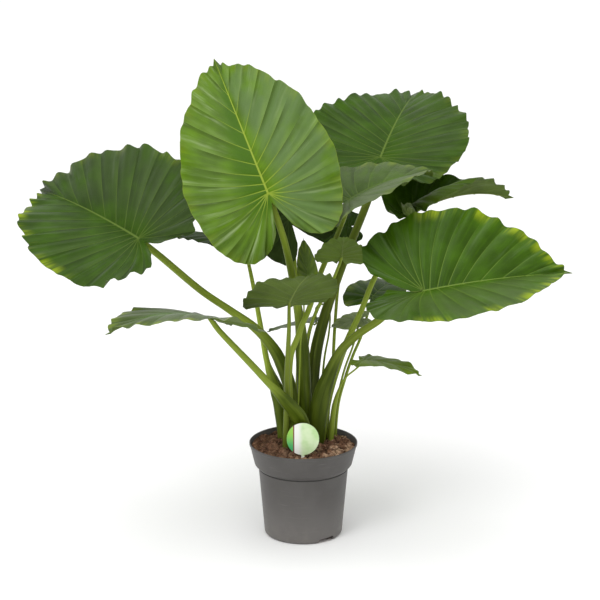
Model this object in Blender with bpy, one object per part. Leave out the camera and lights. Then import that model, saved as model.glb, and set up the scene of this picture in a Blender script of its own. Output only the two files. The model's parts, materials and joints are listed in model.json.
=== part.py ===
"""A potted California alocasia: a nursery pot, its soil, a plant label and seventeen leaves on petioles.

Metres, +Z up. The origin is the middle of the pot's underside. The plant is seen best from -Y.
Angles are in degrees. A leaf's letter is the letter of its petiole.
"""

import math

import bmesh
import bpy
import numpy as np

GAP = 0.0003  # between pieces that touch

# Pot
POT_RIM_RADIUS = 0.105
POT_HEIGHT = 0.185
POT_WALL = 0.002
POT_FLOOR = 0.003
POT_LIP = 0.0012  # how far the rim's top edge is rounded
POT_BAND_END = (0.0950, 0.1415)  # radius and height where the band under the rim ends
POT_BODY_TOP = (0.0872, 0.1345)  # and where the chamfer meets the tapered body
POT_FOOT_RADIUS = 0.0760  # of the body where its foot begins to round
POT_FOOT_ROUND = 0.006
POT_CORNER = 0.002  # the bevel inside, between wall and floor
POT_SIDES = 40
NOTCH_WIDTH = 0.042
NOTCH_HEIGHT = 0.0095
NOTCH_DEPTH = 0.016  # across the foot, more than the wall
NOTCH_TURNS = (-55.0, 125.0)  # where each notch is, from +X

# Soil
SOIL_LEVEL = 0.180
SOIL_LUMP = 0.0035
SOIL_EDGE = (0.7, 0.012)  # where its edge begins to fall, in rim radii, and how fast it falls
SOIL_BACK = (0.05, 0.035)  # how far out its back right part begins to fall, and how fast
SOIL_DIP = (0.035, 0.008)  # radius and depth of the hollow round the label
SOIL_RINGS = 6

# Label
LABEL_RADIUS = 0.0310
LABEL_THICK = 0.001
LABEL_CENTRE = (-0.001, -0.058, 0.2095)
LABEL_LEAN = 8.0
STAKE_HALF_WIDTH = 0.003
STAKE_LENGTH = 0.058  # from the disc's lower edge to the stake's point
STAKE_TAPER = 0.008
LABEL_SIDES = 36

# A blade's outline, in lengths of its midrib, measured round the place where the petiole joins it
REACH_BACK = 0.485
REACH_TIP = 0.515
REACH_TURN = 47.0
LOBE_END = 160.0
LOBE_TURN = 128.0  # where a lobe's end begins to round
LOBE_ROUND = 0.5  # how far its reach falls from there to the sinus
SINUS_BACK = 0.06
TIP_REACH = 1.03
FIRST_ANGLE = 1.5  # of the ray nearest the tip
ANGLE_POWER = 1.4  # how the angles of the rays' ends spread from the tip on
LAST_FOOT = 0.86  # how far out on the midrib the rays leave it, near the tip
FOOT_TURN = 30.0  # how fast their feet come closer to the junction, per degree of their ends
FOOT_LEAST = 0.06  # below this share they leave the junction itself
LOBE_LENGTH = 0.45  # where a lobe has its full bend
LOBE_SHARE = 0.8  # and how much of the lobe's angle that is
HALF_WIDTH = 0.55  # where a half blade has its full curl
VEIN_SHARE = 0.010  # how far the margin steps in at a vein
WAVE = 0.02
SWELLS = 1.7  # long waves along a margin

# Blade thicknesses
RIB_SHARE = 0.014  # the midrib's depth at the petiole, in lengths of the midrib
RIB_LEAST = 0.0016
BLADE_THICK = 0.0012
VEIN_THICK = 0.0004  # what a vein adds
MARGIN_THICK = 0.0008

FINE = (0.07, 0.37, 0.7, 1.0)  # columns across a half blade, from the midrib to the margin
COARSE = (0.08, 0.5, 1.0)

LEAVES = {
    "a": dict(at=(-0.065, -0.100, 0.696), heading=138, pitch=60, roll=47, length=0.292, width=0.86, droop=30,
              fold=(6, 15), curl=(-16, -20), lobes=14, seed=1, veins=14, columns=FINE, ends=(168, 160)),
    "b": dict(at=(-0.314, 0.020, 0.585), heading=138, pitch=16, roll=41, length=0.335, width=0.90, droop=23,
              fold=(28, 30), curl=(-15, -45), lobes=-20, seed=2, veins=14, columns=FINE, ends=(160, 168)),
    "c": dict(at=(0.153, 0.204, 0.7085), heading=70, pitch=32, roll=-10, length=0.292, width=1.0, droop=30,
              fold=(8, 20), curl=(-14, -16), lobes=-18, seed=3, veins=15, columns=FINE),
    "d": dict(at=(0.085, -0.040, 0.673), heading=33, pitch=22, roll=-6, length=0.200, width=0.82, droop=28,
              fold=(13, 20), curl=(-5, -5), lobes=25, seed=4, veins=9, columns=COARSE),
    "e": dict(at=(0.206, 0.102, 0.612), heading=27, pitch=27, roll=9, length=0.224, width=0.74, droop=45,
              fold=(0, 60), curl=(90, -125), lobes=-100, seed=5, veins=10, columns=FINE, back=0.30),
    "f": dict(at=(0.224, -0.080, 0.507), heading=4, pitch=11, roll=-37, length=0.277, width=0.97, droop=15,
              fold=(25, 40), curl=(-8, -22), lobes=-3, seed=6, veins=13, columns=FINE, ends=(157, 196)),
    "g": dict(at=(-0.170, -0.100, 0.460), heading=-150, pitch=22, roll=-8, length=0.215, width=0.95, droop=42,
              fold=(5, 5), curl=(-10, -10), lobes=0, seed=7, veins=9, columns=COARSE),
    "h": dict(at=(-0.027, -0.100, 0.489), heading=-75, pitch=40, roll=0, length=0.155, width=1.0, droop=15,
              fold=(15, 15), curl=(-20, -20), lobes=-20, seed=8, veins=9, columns=COARSE),
    "i": dict(at=(-0.117, 0.080, 0.568), heading=165, pitch=10, roll=0, length=0.140, width=0.9, droop=20,
              fold=(5, 5), curl=(-20, -20), lobes=20, seed=9, veins=8, columns=COARSE),
    "j": dict(at=(0.072, 0.008, 0.5495), heading=-88, pitch=42, roll=2, length=0.096, width=0.93, droop=10,
              fold=(5, 5), curl=(-20, -20), lobes=-20, seed=10, veins=8, columns=COARSE),
    "k": dict(at=(-0.028, 0.070, 0.609), heading=145, pitch=45, roll=45, length=0.200, width=0.75, droop=20,
              fold=(5, 5), curl=(-20, -20), lobes=0, seed=11, veins=8, columns=COARSE),
    "l": dict(at=(0.009, -0.054, 0.527), heading=125, pitch=75, roll=45, length=0.072, width=0.48, droop=10,
              fold=(5, 5), curl=(-20, -20), lobes=-10, seed=12, veins=6, columns=COARSE),
    "m": dict(at=(0.136, 0.145, 0.437), heading=60, pitch=15, roll=-10, length=0.118, width=0.9, droop=20,
              fold=(5, 5), curl=(-20, -20), lobes=20, seed=13, veins=6, columns=COARSE),
    "n": dict(at=(0.111, 0.072, 0.413), heading=-170, pitch=-10, roll=20, length=0.060, width=0.8, droop=10,
              fold=(5, 5), curl=(-20, -20), lobes=10, seed=14, veins=6, columns=COARSE),
    "o": dict(at=(0.118, -0.010, 0.353), heading=-25, pitch=5, roll=0, length=0.115, width=0.6, droop=25,
              fold=(5, 5), curl=(-20, -20), lobes=10, seed=15, veins=6, columns=COARSE, back=0.5),
    "p": dict(at=(0.011, 0.100, 0.403), heading=-168, pitch=-8, roll=-10, length=0.085, width=0.8, droop=10,
              fold=(5, 5), curl=(-20, -20), lobes=0, seed=16, veins=6, columns=COARSE),
    "q": dict(at=(0.088, 0.150, 0.580), heading=175, pitch=0, roll=25, length=0.085, width=1.1, droop=20,
              fold=(5, 5), curl=(-20, -20), lobes=10, seed=17, veins=8, columns=COARSE),
}

# A petiole's route from the soil up to its blade, and its girth: a height, then its half widths along X and
# along Y in millimetres
PETIOLES = {
    "a": dict(sides=10, route=[(0.005, 0.022, 0.120), (0.005, 0.022, 0.178), (0.003, 0.020, 0.253),
                               (-0.001, 0.014, 0.336), (-0.006, 0.004, 0.419), (-0.020, -0.045, 0.519),
                               (-0.036, -0.085, 0.605)],
              girth=[(0.12, 12, 11), (0.25, 13, 11), (0.36, 13, 10), (0.44, 9, 8), (0.52, 7, 7),
                     (0.70, 6, 6)]),
    "b": dict(sides=10, route=[(-0.017, 0.014, 0.120), (-0.018, 0.014, 0.181), (-0.022, 0.010, 0.266),
                               (-0.037, 0.008, 0.327), (-0.058, 0.012, 0.370), (-0.093, 0.020, 0.408),
                               (-0.141, 0.025, 0.442), (-0.198, 0.030, 0.481), (-0.270, 0.030, 0.544)],
              girth=[(0.12, 11, 10), (0.25, 12, 9), (0.34, 13, 8.5), (0.40, 9, 8), (0.45, 7, 7),
                     (0.60, 6.5, 6.5)]),
    "c": dict(sides=10, route=[(0.015, 0.045, 0.120), (0.015, 0.045, 0.170), (0.017, 0.045, 0.265),
                               (0.025, 0.048, 0.352), (0.042, 0.055, 0.424), (0.063, 0.065, 0.486),
                               (0.091, 0.095, 0.555), (0.124, 0.128, 0.631)],
              girth=[(0.12, 10.5, 10), (0.30, 12, 10), (0.40, 11, 9), (0.48, 8.5, 8), (0.72, 7, 7)]),
    "d": dict(sides=8, route=[(-0.022, -0.012, 0.120), (-0.022, -0.012, 0.190), (-0.026, -0.015, 0.254),
                              (-0.028, -0.024, 0.316), (-0.024, -0.032, 0.368), (-0.012, -0.034, 0.402),
                              (-0.001, -0.028, 0.431), (0.012, -0.012, 0.458), (0.034, 0.041, 0.514),
                              (0.056, 0.040, 0.565), (0.075, -0.004, 0.626)],
              girth=[(0.12, 6.5, 6.5), (0.30, 7, 6), (0.40, 5.5, 5), (0.66, 4.7, 4.7)]),
    "e": dict(sides=8, route=[(0.037, 0.028, 0.120), (0.037, 0.028, 0.176), (0.048, 0.028, 0.260),
                              (0.067, 0.030, 0.331), (0.090, 0.035, 0.390), (0.112, 0.050, 0.434),
                              (0.141, 0.070, 0.501)],
              girth=[(0.12, 6.5, 6.5), (0.33, 7.5, 6.5), (0.43, 5.5, 5.5), (0.61, 4.7, 4.7)]),
    "f": dict(sides=10, route=[(0.025, 0.006, 0.120), (0.025, 0.006, 0.184), (0.032, 0.000, 0.259),
                               (0.047, -0.006, 0.315), (0.070, -0.015, 0.370), (0.102, -0.030, 0.408),
                               (0.141, -0.045, 0.440), (0.164, -0.060, 0.465)],
              girth=[(0.12, 14, 8.5), (0.20, 16, 9), (0.26, 18, 9), (0.31, 14, 9), (0.37, 9, 8),
                     (0.42, 7.5, 7.5), (0.51, 7, 7)]),
    "g": dict(sides=10, route=[(0.004, -0.010, 0.120), (0.003, -0.010, 0.189), (-0.008, -0.036, 0.244),
                               (-0.035, -0.060, 0.288), (-0.067, -0.080, 0.330), (-0.098, -0.090, 0.368),
                               (-0.148, -0.100, 0.426)],
              girth=[(0.12, 13, 7.5), (0.19, 15, 8), (0.25, 16, 7.5), (0.29, 13, 7),
                     (0.32, 7.5, 6.5), (0.46, 5, 5)]),
    "h": dict(sides=8, route=[(-0.034, -0.022, 0.120), (-0.034, -0.022, 0.193), (-0.031, -0.031, 0.270),
                              (-0.031, -0.055, 0.336), (-0.029, -0.080, 0.389), (-0.027, -0.095, 0.438)],
              girth=[(0.12, 6, 6), (0.27, 6.3, 6), (0.40, 4.5, 4.5), (0.49, 3, 3)]),
    "i": dict(sides=8, route=[(-0.040, 0.035, 0.120), (-0.040, 0.035, 0.170), (-0.047, 0.040, 0.257),
                              (-0.069, 0.045, 0.326), (-0.080, 0.055, 0.384), (-0.092, 0.065, 0.452),
                              (-0.105, 0.075, 0.517)],
              girth=[(0.12, 9, 9), (0.19, 10, 9), (0.23, 13, 9), (0.27, 14, 9), (0.30, 10, 8), (0.33, 6, 6),
                     (0.45, 4.5, 4.5), (0.57, 3, 3)]),
    "j": dict(sides=6, route=[(0.000, 0.055, 0.120), (-0.001, 0.055, 0.167), (-0.001, 0.056, 0.251),
                              (0.003, 0.056, 0.323), (0.011, 0.052, 0.389), (0.028, 0.045, 0.441),
                              (0.052, 0.020, 0.493)],
              girth=[(0.12, 4.5, 4.5), (0.33, 4, 4), (0.55, 2.8, 2.8)]),
    "k": dict(sides=6, route=[(-0.014, 0.046, 0.120), (-0.014, 0.046, 0.170), (-0.012, 0.048, 0.244),
                              (-0.010, 0.050, 0.325), (-0.009, 0.052, 0.408), (-0.014, 0.060, 0.492),
                              (-0.021, 0.068, 0.560)],
              girth=[(0.12, 4.5, 4.5), (0.40, 4.5, 4.5), (0.62, 4, 4)]),
    "l": dict(sides=6, route=[(-0.0125, -0.002, 0.120), (-0.0125, -0.003, 0.170), (-0.0115, -0.004, 0.220),
                              (-0.009, -0.006, 0.280), (-0.007, -0.008, 0.340), (-0.005, -0.010, 0.390),
                              (0.000, -0.0145, 0.430), (0.001, -0.015, 0.455), (0.001, -0.026, 0.475),
                              (0.005, -0.041, 0.503)],
              girth=[(0.12, 1.6, 1.6), (0.52, 1.5, 1.5)]),
    "m": dict(sides=6, route=[(0.060, 0.048, 0.120), (0.062, 0.049, 0.169), (0.068, 0.050, 0.243),
                              (0.082, 0.055, 0.297), (0.097, 0.072, 0.337), (0.115, 0.098, 0.373)],
              girth=[(0.12, 3.5, 3.5), (0.44, 2.6, 2.6)]),
    "n": dict(sides=6, route=[(0.058, 0.038, 0.120), (0.056, 0.038, 0.173), (0.060, 0.038, 0.226),
                              (0.070, 0.040, 0.277), (0.081, 0.045, 0.320), (0.097, 0.055, 0.363)],
              girth=[(0.12, 2.8, 2.8), (0.41, 1.8, 1.8)]),
    "o": dict(sides=6, route=[(0.055, 0.025, 0.120), (0.054, 0.025, 0.177), (0.060, 0.022, 0.248),
                              (0.071, 0.016, 0.290), (0.082, 0.010, 0.312), (0.099, 0.000, 0.330)],
              girth=[(0.12, 5, 5), (0.20, 5.6, 5), (0.25, 5, 4.5), (0.28, 3, 3), (0.30, 1.8, 1.8),
                     (0.35, 1.6, 1.6)]),
    "p": dict(sides=6, route=[(0.034, 0.064, 0.120), (0.035, 0.064, 0.164), (0.035, 0.066, 0.248),
                              (0.041, 0.074, 0.328), (0.050, 0.086, 0.378), (0.052, 0.094, 0.416),
                              (0.042, 0.098, 0.434), (0.025, 0.100, 0.427)],
              girth=[(0.12, 3, 3), (0.40, 1.8, 1.8)]),
    "q": dict(sides=6, route=[(0.046, 0.050, 0.120), (0.047, 0.050, 0.169), (0.050, 0.050, 0.243),
                              (0.058, 0.052, 0.298), (0.059, 0.062, 0.348), (0.062, 0.082, 0.399),
                              (0.068, 0.108, 0.467), (0.078, 0.134, 0.528)],
              girth=[(0.12, 3.5, 3.5), (0.59, 3, 3)]),
}
RING_STEP = 0.042  # distance between a petiole's rings
MEET_ANGLE = 40.0  # the least angle at which a petiole meets its blade's plane
KNUCKLE = 0.016  # length over which a petiole turns to that angle
LAST_RING = 1.6  # how far before its end a petiole's last round ring is, in half widths
LOOK_AHEAD = 0.004  # distance over which a petiole's direction is taken

# Colours, and how rough each surface is
LEAF_GREEN = (0.12, 0.28, 0.03)
LEAF_ROUGH = 0.35
STALK_GREEN = (0.22, 0.34, 0.05)
STALK_ROUGH = 0.45
SOIL_BROWN = (0.16, 0.08, 0.05)
SOIL_ROUGH = 0.95
POT_TAUPE = (0.16, 0.145, 0.13)
POT_ROUGH = 0.5
LABEL_GREEN = (0.62, 0.78, 0.45)
LABEL_ROUGH = 0.4


def unit(vector):
    return vector / np.linalg.norm(vector)


def clear_scene():
    for thing in list(bpy.data.objects):
        bpy.data.objects.remove(thing)


def material(name, colour, roughness):
    """A plain Principled material, made once."""
    made = bpy.data.materials.get(name)
    if made is None:
        made = bpy.data.materials.new(name)
        made.use_nodes = True
        shader = made.node_tree.nodes["Principled BSDF"]
        shader.inputs["Base Color"].default_value = (*colour, 1.0)
        shader.inputs["Roughness"].default_value = roughness
    return made


def add_object(name, shape, look, sharp=35.0):
    """Turns a bmesh into a smooth shaded object with its material."""
    bmesh.ops.recalc_face_normals(shape, faces=shape.faces)
    data = bpy.data.meshes.new(name)
    shape.to_mesh(data)
    shape.free()
    data.shade_smooth()
    data.set_sharp_from_angle(angle=math.radians(sharp))
    data.materials.append(look)
    thing = bpy.data.objects.new(name, data)
    bpy.context.scene.collection.objects.link(thing)
    return thing


def apply_modifiers(thing):
    """Replaces the object's mesh by its evaluated one."""
    graph = bpy.context.evaluated_depsgraph_get()
    shape = bmesh.new()
    shape.from_object(thing, graph)
    thing.modifiers.clear()
    shape.to_mesh(thing.data)
    shape.free()


def cut(thing, cutters):
    """Takes the cutters out of the object with one Boolean, then removes them."""
    group = bpy.data.collections.new(thing.name + "_cutters")
    bpy.context.scene.collection.children.link(group)
    for cutter in cutters:
        bpy.context.scene.collection.objects.unlink(cutter)
        group.objects.link(cutter)
    tool = thing.modifiers.new("cut", "BOOLEAN")
    tool.operation = "DIFFERENCE"
    tool.solver = "EXACT"
    tool.operand_type = "COLLECTION"
    tool.collection = group
    apply_modifiers(thing)
    for cutter in cutters:
        bpy.data.objects.remove(cutter)
    bpy.data.collections.remove(group)


# Leaf blades


def reach(angle, end):
    """How far the outline is from the junction, in midrib lengths, at an angle from the tip's direction."""
    rounding = max(0.0, (angle - LOBE_TURN) / (end - LOBE_TURN)) ** 2
    return (REACH_BACK + REACH_TIP * math.exp(-angle / REACH_TURN)) * (1 - LOBE_ROUND * rounding)


def ray(u, end):
    """Where a lateral ray leaves the midrib, and its end's angle: u is 0 at the tip and 1 at the sinus."""
    spread = u ** ANGLE_POWER
    share = math.exp(-(FIRST_ANGLE + (LOBE_END - FIRST_ANGLE) * spread) / FOOT_TURN)
    foot = LAST_FOOT * max(0.0, share - FOOT_LEAST) / (1 - FOOT_LEAST)
    return (-SINUS_BACK if u >= 1 else foot), FIRST_ANGLE + (end - FIRST_ANGLE) * spread


class Blade:
    """A heart shaped blade, with its midrib's direction, its own left side and its upper face's direction."""

    def __init__(self, at, heading, pitch, roll, length, width, droop, fold, curl, lobes, seed, veins,
                 columns, back=1.0, ends=(LOBE_END, LOBE_END)):
        self.at = np.array(at)
        self.length, self.width, self.back = length, width, back
        self.droop, self.lobes = math.radians(droop), math.radians(lobes)
        self.fold = [math.radians(a) for a in fold]
        self.curl = [math.radians(a) for a in curl]
        self.seed, self.veins, self.columns = seed, veins, columns
        self.ends = {1: ends[0], -1: ends[1]}
        h, p, r = (math.radians(a) for a in (heading, pitch, roll))
        self.along = np.array([math.cos(p) * math.cos(h), math.cos(p) * math.sin(h), math.sin(p)])
        level = np.array([-math.sin(p) * math.cos(h), -math.sin(p) * math.sin(h), math.cos(p)])
        self.up = level * math.cos(r) + np.cross(level, self.along) * math.sin(r)
        self.left = np.cross(self.up, self.along)
        self.rib = max(RIB_LEAST, RIB_SHARE * length)

    def place(self, x, y, rise=0.0):
        """The point x along the midrib and y to its left on the flat blade, both in midrib lengths."""
        y *= self.width
        if x >= 0:
            ahead = x * math.cos(self.droop * x / 2)
            drop = -x * math.sin(self.droop * x / 2)
            turn = self.droop * x
        else:
            x *= self.back
            angle = LOBE_SHARE * self.lobes * min(1.0, -x / LOBE_LENGTH)
            ahead, drop, turn = x * math.cos(angle), x * math.sin(angle), -angle
        half = 0 if y > 0 else 1
        slope = self.fold[half] + self.curl[half] * min(1.0, abs(y) / HALF_WIDTH) / 2
        across = y * math.cos(slope)
        upward = self.up * math.cos(turn) + self.along * math.sin(turn)
        lift = abs(y) * math.sin(slope) + rise
        return self.at + self.length * (
            self.along * ahead + self.up * drop + self.left * across + upward * lift
        )

    def on_ray(self, u, t, side):
        """A point of the ray u, t of the way to the margin, on the left (side 1) or the right (side -1)."""
        foot, angle = ray(u, self.ends[side])
        vein = math.cos(2 * math.pi * u * self.veins)
        far = reach(angle, self.ends[side]) * (1 - VEIN_SHARE * vein)
        turn = math.radians(angle)
        x = foot + (far * math.cos(turn) - foot) * t
        y = far * math.sin(turn) * t
        swell = math.sin(2 * math.pi * (SWELLS * (u + self.seed) + (0.3 if side > 0 else 0)))
        rise = WAVE * t ** 2 * (0.9 * swell - 0.5 * vein)
        return self.place(x, y * side, rise)


def blade_object(letter, leaf):
    """The blade as one surface of triangles, thickened downwards by each point's own thickness."""
    blade = Blade(**leaf)
    shape = bmesh.new()
    thick = {}

    def point(where, depth):
        made = shape.verts.new(where)
        thick[made] = depth
        return made

    midrib = {}

    def midrib_point(x):
        if x not in midrib:
            depth = blade.rib * (1 - 0.7 * x if x >= 0 else 0.5)
            midrib[x] = point(blade.place(x, 0), max(depth, BLADE_THICK))
        return midrib[x]

    tip = point(blade.place(TIP_REACH, 0), MARGIN_THICK)
    last = 2 * blade.veins
    for side in (1, -1):
        rows = []
        for k in range(last + 1):
            u = k / last
            row = [midrib_point(ray(u, LOBE_END)[0])]
            for t in blade.columns:
                depth = MARGIN_THICK + (BLADE_THICK - MARGIN_THICK) * (1 - t)
                if k % 2 == 0 and t < 1:
                    depth += VEIN_THICK
                row.append(point(blade.on_ray(u, t, side), depth))
            rows.append(row)
        corners = [(tip, b, a) for a, b in zip(rows[0], rows[0][1:])]
        for near, far in zip(rows, rows[1:]):
            for c in range(len(near) - 1):
                corners.append((near[c], near[c + 1], far[c + 1]))
                corners.append((near[c], far[c + 1], far[c]))
        for three in corners:
            if len(set(three)) == 3:
                shape.faces.new(three[::side])
    look = material("leaf", LEAF_GREEN, LEAF_ROUGH)
    data = bpy.data.meshes.new("leaf_" + letter)
    shape.verts.index_update()
    depths = [thick[v] for v in shape.verts]
    shape.to_mesh(data)
    shape.free()
    data.shade_smooth()
    data.materials.append(look)
    thing = bpy.data.objects.new("leaf_" + letter, data)
    bpy.context.scene.collection.objects.link(thing)
    group = thing.vertex_groups.new(name="thickness")
    most = max(depths)
    for index, depth in enumerate(depths):
        group.add([index], depth / most, "REPLACE")
    shell = thing.modifiers.new("thickness", "SOLIDIFY")
    shell.thickness = most
    shell.offset = -1
    shell.vertex_group = group.name
    return thing


# Petioles


def smooth_route(points, steps=12):
    """Points of a smooth curve through the given ones, and how far along the curve each is."""
    p = np.array(points)
    p = np.vstack([2 * p[0] - p[1], p, 2 * p[-1] - p[-2]])
    curve = []
    for a, b, c, d in zip(p, p[1:], p[2:], p[3:]):
        bend = 2 * a - 5 * b + 4 * c - d
        twist = 3 * b - 3 * c + d - a
        for s in np.arange(steps) / steps:
            curve.append((2 * b + (c - a) * s + bend * s ** 2 + twist * s ** 3) / 2)
    curve.append(p[-2])
    curve = np.array(curve)
    run = np.concatenate([[0], np.cumsum(np.linalg.norm(np.diff(curve, axis=0), axis=1))])
    return curve, run


def petiole_shape(petiole, blade, grow=0.0):
    """A stalk swept from the soil to the blade's underside, cut there along the blade's plane."""
    heights, half_x, half_y = np.array(petiole["girth"]).T
    end = blade.at - blade.up * (blade.rib + GAP)
    arrive = unit(end - np.array(petiole["route"][-1]))
    if arrive @ blade.up < math.sin(math.radians(MEET_ANGLE)):
        level = unit(arrive - blade.up * (arrive @ blade.up))
        arrive = level * math.cos(math.radians(MEET_ANGLE)) + blade.up * math.sin(math.radians(MEET_ANGLE))
    curve, run = smooth_route([*petiole["route"], end - arrive * KNUCKLE, end])
    stop = run[-1] - LAST_RING * half_x[-1] / 1000
    count = max(6, round(stop / RING_STEP))
    stations = stop * np.arange(count + 1) / count
    centres = np.stack([np.interp(stations, run, curve[:, axis]) for axis in range(3)], axis=1)
    ahead = np.stack([np.interp(stations + LOOK_AHEAD, run, curve[:, axis]) for axis in range(3)], axis=1)
    behind = np.stack([np.interp(stations - LOOK_AHEAD, run, curve[:, axis]) for axis in range(3)], axis=1)
    shape = bmesh.new()
    rings = []
    across = np.array([1.0, 0.0, 0.0])
    for centre, front, rear in zip(centres, ahead, behind):
        forward = unit(front - rear)
        across = unit(across - forward * (across @ forward))
        deep = np.cross(forward, across)
        wide_a = np.interp(centre[2], heights, half_x) / 1000 + grow
        wide_b = np.interp(centre[2], heights, half_y) / 1000 + grow
        ring = []
        for k in range(petiole["sides"]):
            turn = 2 * math.pi * (k + 0.5) / petiole["sides"]
            ring.append(centre + across * wide_a * math.cos(turn) + deep * wide_b * math.sin(turn))
        rings.append(ring)
    rings[0] = [p - np.array([0, 0, grow]) for p in rings[0]]
    rings.append([p + arrive * (((end - p) @ blade.up) / (arrive @ blade.up)) for p in rings[-1]])
    made = [[shape.verts.new(p) for p in ring] for ring in rings]
    for lower, upper in zip(made, made[1:]):
        for k in range(len(lower)):
            n = (k + 1) % len(lower)
            shape.faces.new((lower[k], lower[n], upper[n], upper[k]))
    shape.faces.new(made[0][::-1])
    shape.faces.new(made[-1])
    bmesh.ops.triangulate(shape, faces=shape.faces)
    return shape


def petiole_object(letter, petiole, blade):
    look = material("petiole", STALK_GREEN, STALK_ROUGH)
    return add_object("petiole_" + letter, petiole_shape(petiole, blade), look, sharp=60)


# Pot, soil and label


def pot_outline(shrink=0.0):
    """(radius, height) down the pot's outer side, moved inwards by the given amount."""
    foot = []
    for turn in (0, 30, 60, 90):
        in_by = POT_FOOT_ROUND * (1 - math.cos(math.radians(turn)))
        up_by = POT_FOOT_ROUND * (1 - math.sin(math.radians(turn)))
        foot.append((POT_FOOT_RADIUS - in_by, up_by))
    points = [(POT_RIM_RADIUS, POT_HEIGHT - POT_LIP), POT_BAND_END, POT_BODY_TOP, *foot]
    return [(r - shrink, z) for r, z in points]


def turned(profile, sides, name, look):
    """A solid of revolution round Z from a closed profile of (radius, height)."""
    shape = bmesh.new()
    rings = []
    for r, z in profile:
        if r == 0:
            rings.append([shape.verts.new((0, 0, z))] * sides)
        else:
            turns = [2 * math.pi * k / sides for k in range(sides)]
            rings.append([shape.verts.new((r * math.cos(a), r * math.sin(a), z)) for a in turns])
    for upper, lower in zip(rings, rings[1:]):
        for k in range(sides):
            n = (k + 1) % sides
            corners = list(dict.fromkeys((upper[k], lower[k], lower[n], upper[n])))
            shape.faces.new(corners)
    return add_object(name, shape, look)


def pot_object():
    look = material("pot", POT_TAUPE, POT_ROUGH)
    outer = [(POT_RIM_RADIUS - POT_LIP, POT_HEIGHT), *pot_outline()]
    inner = [(r - POT_WALL, max(z, POT_FLOOR)) for r, z in pot_outline()[:5]]
    inner[0] = (inner[0][0], POT_HEIGHT)
    profile = [(0, 0), *outer[::-1], *inner, (inner[-1][0] - POT_CORNER, POT_FLOOR), (0, POT_FLOOR)]
    pot = turned(profile, POT_SIDES, "pot", look)
    cutters = []
    for degrees in NOTCH_TURNS:
        turn = math.radians(degrees)
        shape = bmesh.new()
        bmesh.ops.create_cube(shape, size=1)
        cutter = add_object("notch", shape, look)
        cutter.scale = (NOTCH_DEPTH, NOTCH_WIDTH, 2 * NOTCH_HEIGHT)
        cutter.location = (POT_FOOT_RADIUS * math.cos(turn), POT_FOOT_RADIUS * math.sin(turn), 0)
        cutter.rotation_euler = (0, 0, turn)
        cutters.append(cutter)
    bpy.context.view_layer.update()
    cut(pot, cutters)
    return pot


def soil_height(x, y):
    """The lumpy top of the soil, lower along the wall, at its back right edge and round the label."""
    lump = math.sin(83 * x + 40 * y + 0.7) * math.cos(71 * y - 25 * x)
    lump += 0.6 * math.sin(150 * x + 1) * math.sin(131 * y)
    edge = SOIL_EDGE[1] * max(0.0, math.hypot(x, y) / POT_RIM_RADIUS - SOIL_EDGE[0])
    back = SOIL_BACK[1] * max(0.0, 0.6 * x + 0.8 * y - SOIL_BACK[0])
    away = math.hypot(x - LABEL_CENTRE[0], y - LABEL_CENTRE[1]) / SOIL_DIP[0]
    return SOIL_LEVEL + SOIL_LUMP * lump - edge - back - SOIL_DIP[1] * math.exp(-away ** 2)


def soil_object(cutters):
    look = material("soil", SOIL_BROWN, SOIL_ROUGH)
    low = POT_FLOOR + GAP
    side = [(r, max(z, low)) for r, z in pot_outline(POT_WALL + GAP)[1:5]]
    (r1, z1), (r0, z0) = side[0], pot_outline(POT_WALL + GAP)[0]
    shape = bmesh.new()
    turns = [2 * math.pi * k / POT_SIDES for k in range(POT_SIDES)]
    rings = []
    for ring in range(1, SOIL_RINGS + 1):
        r = r0 * ring / SOIL_RINGS
        places = [(r * math.cos(a), r * math.sin(a)) for a in turns]
        rings.append([shape.verts.new((x, y, soil_height(x, y))) for x, y in places])
    for vert in rings[-1]:
        reach_out = r1 + (r0 - r1) * (vert.co.z - z1) / (z0 - z1)
        vert.co.xy = vert.co.xy.normalized() * reach_out
    for r, z in side:
        rings.append([shape.verts.new((r * math.cos(a), r * math.sin(a), z)) for a in turns])
    top = shape.verts.new((0, 0, soil_height(0, 0)))
    bottom = shape.verts.new((0, 0, low))
    for k in range(POT_SIDES):
        n = (k + 1) % POT_SIDES
        shape.faces.new((top, rings[0][k], rings[0][n]))
        for inside, outside in zip(rings, rings[1:]):
            shape.faces.new((inside[k], outside[k], outside[n], inside[n]))
        shape.faces.new((rings[-1][k], bottom, rings[-1][n]))
    bmesh.ops.triangulate(shape, faces=shape.faces)
    soil = add_object("soil", shape, look, sharp=60)
    cut(soil, cutters)
    return soil


def label_shape(grow=0.0):
    """The disc and its stake in one flat outline, given its thickness and leaned back."""
    radius, half = LABEL_RADIUS + grow, STAKE_HALF_WIDTH + grow
    open_angle = math.asin(half / radius)
    first = -math.pi / 2 + open_angle
    step = (2 * math.pi - 2 * open_angle) / LABEL_SIDES
    outline = [(radius * math.cos(first + step * k), radius * math.sin(first + step * k))
               for k in range(LABEL_SIDES + 1)]
    point = -LABEL_RADIUS - STAKE_LENGTH
    outline += [(-half, point + STAKE_TAPER), (0, point - grow), (half, point + STAKE_TAPER)]
    lean = math.radians(LABEL_LEAN)
    shape = bmesh.new()
    faces = []
    for depth in (-LABEL_THICK / 2 - grow, LABEL_THICK / 2 + grow):
        ring = []
        for x, z in outline:
            y = depth * math.cos(lean) + z * math.sin(lean)
            up = z * math.cos(lean) - depth * math.sin(lean)
            ring.append(shape.verts.new((LABEL_CENTRE[0] + x, LABEL_CENTRE[1] + y, LABEL_CENTRE[2] + up)))
        faces.append(ring)
    front, rear = faces
    shape.faces.new(front)
    shape.faces.new(rear[::-1])
    for k in range(len(front)):
        n = (k + 1) % len(front)
        shape.faces.new((front[k], front[n], rear[n], rear[k]))
    bmesh.ops.triangulate(shape, faces=shape.faces)
    return shape


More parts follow.
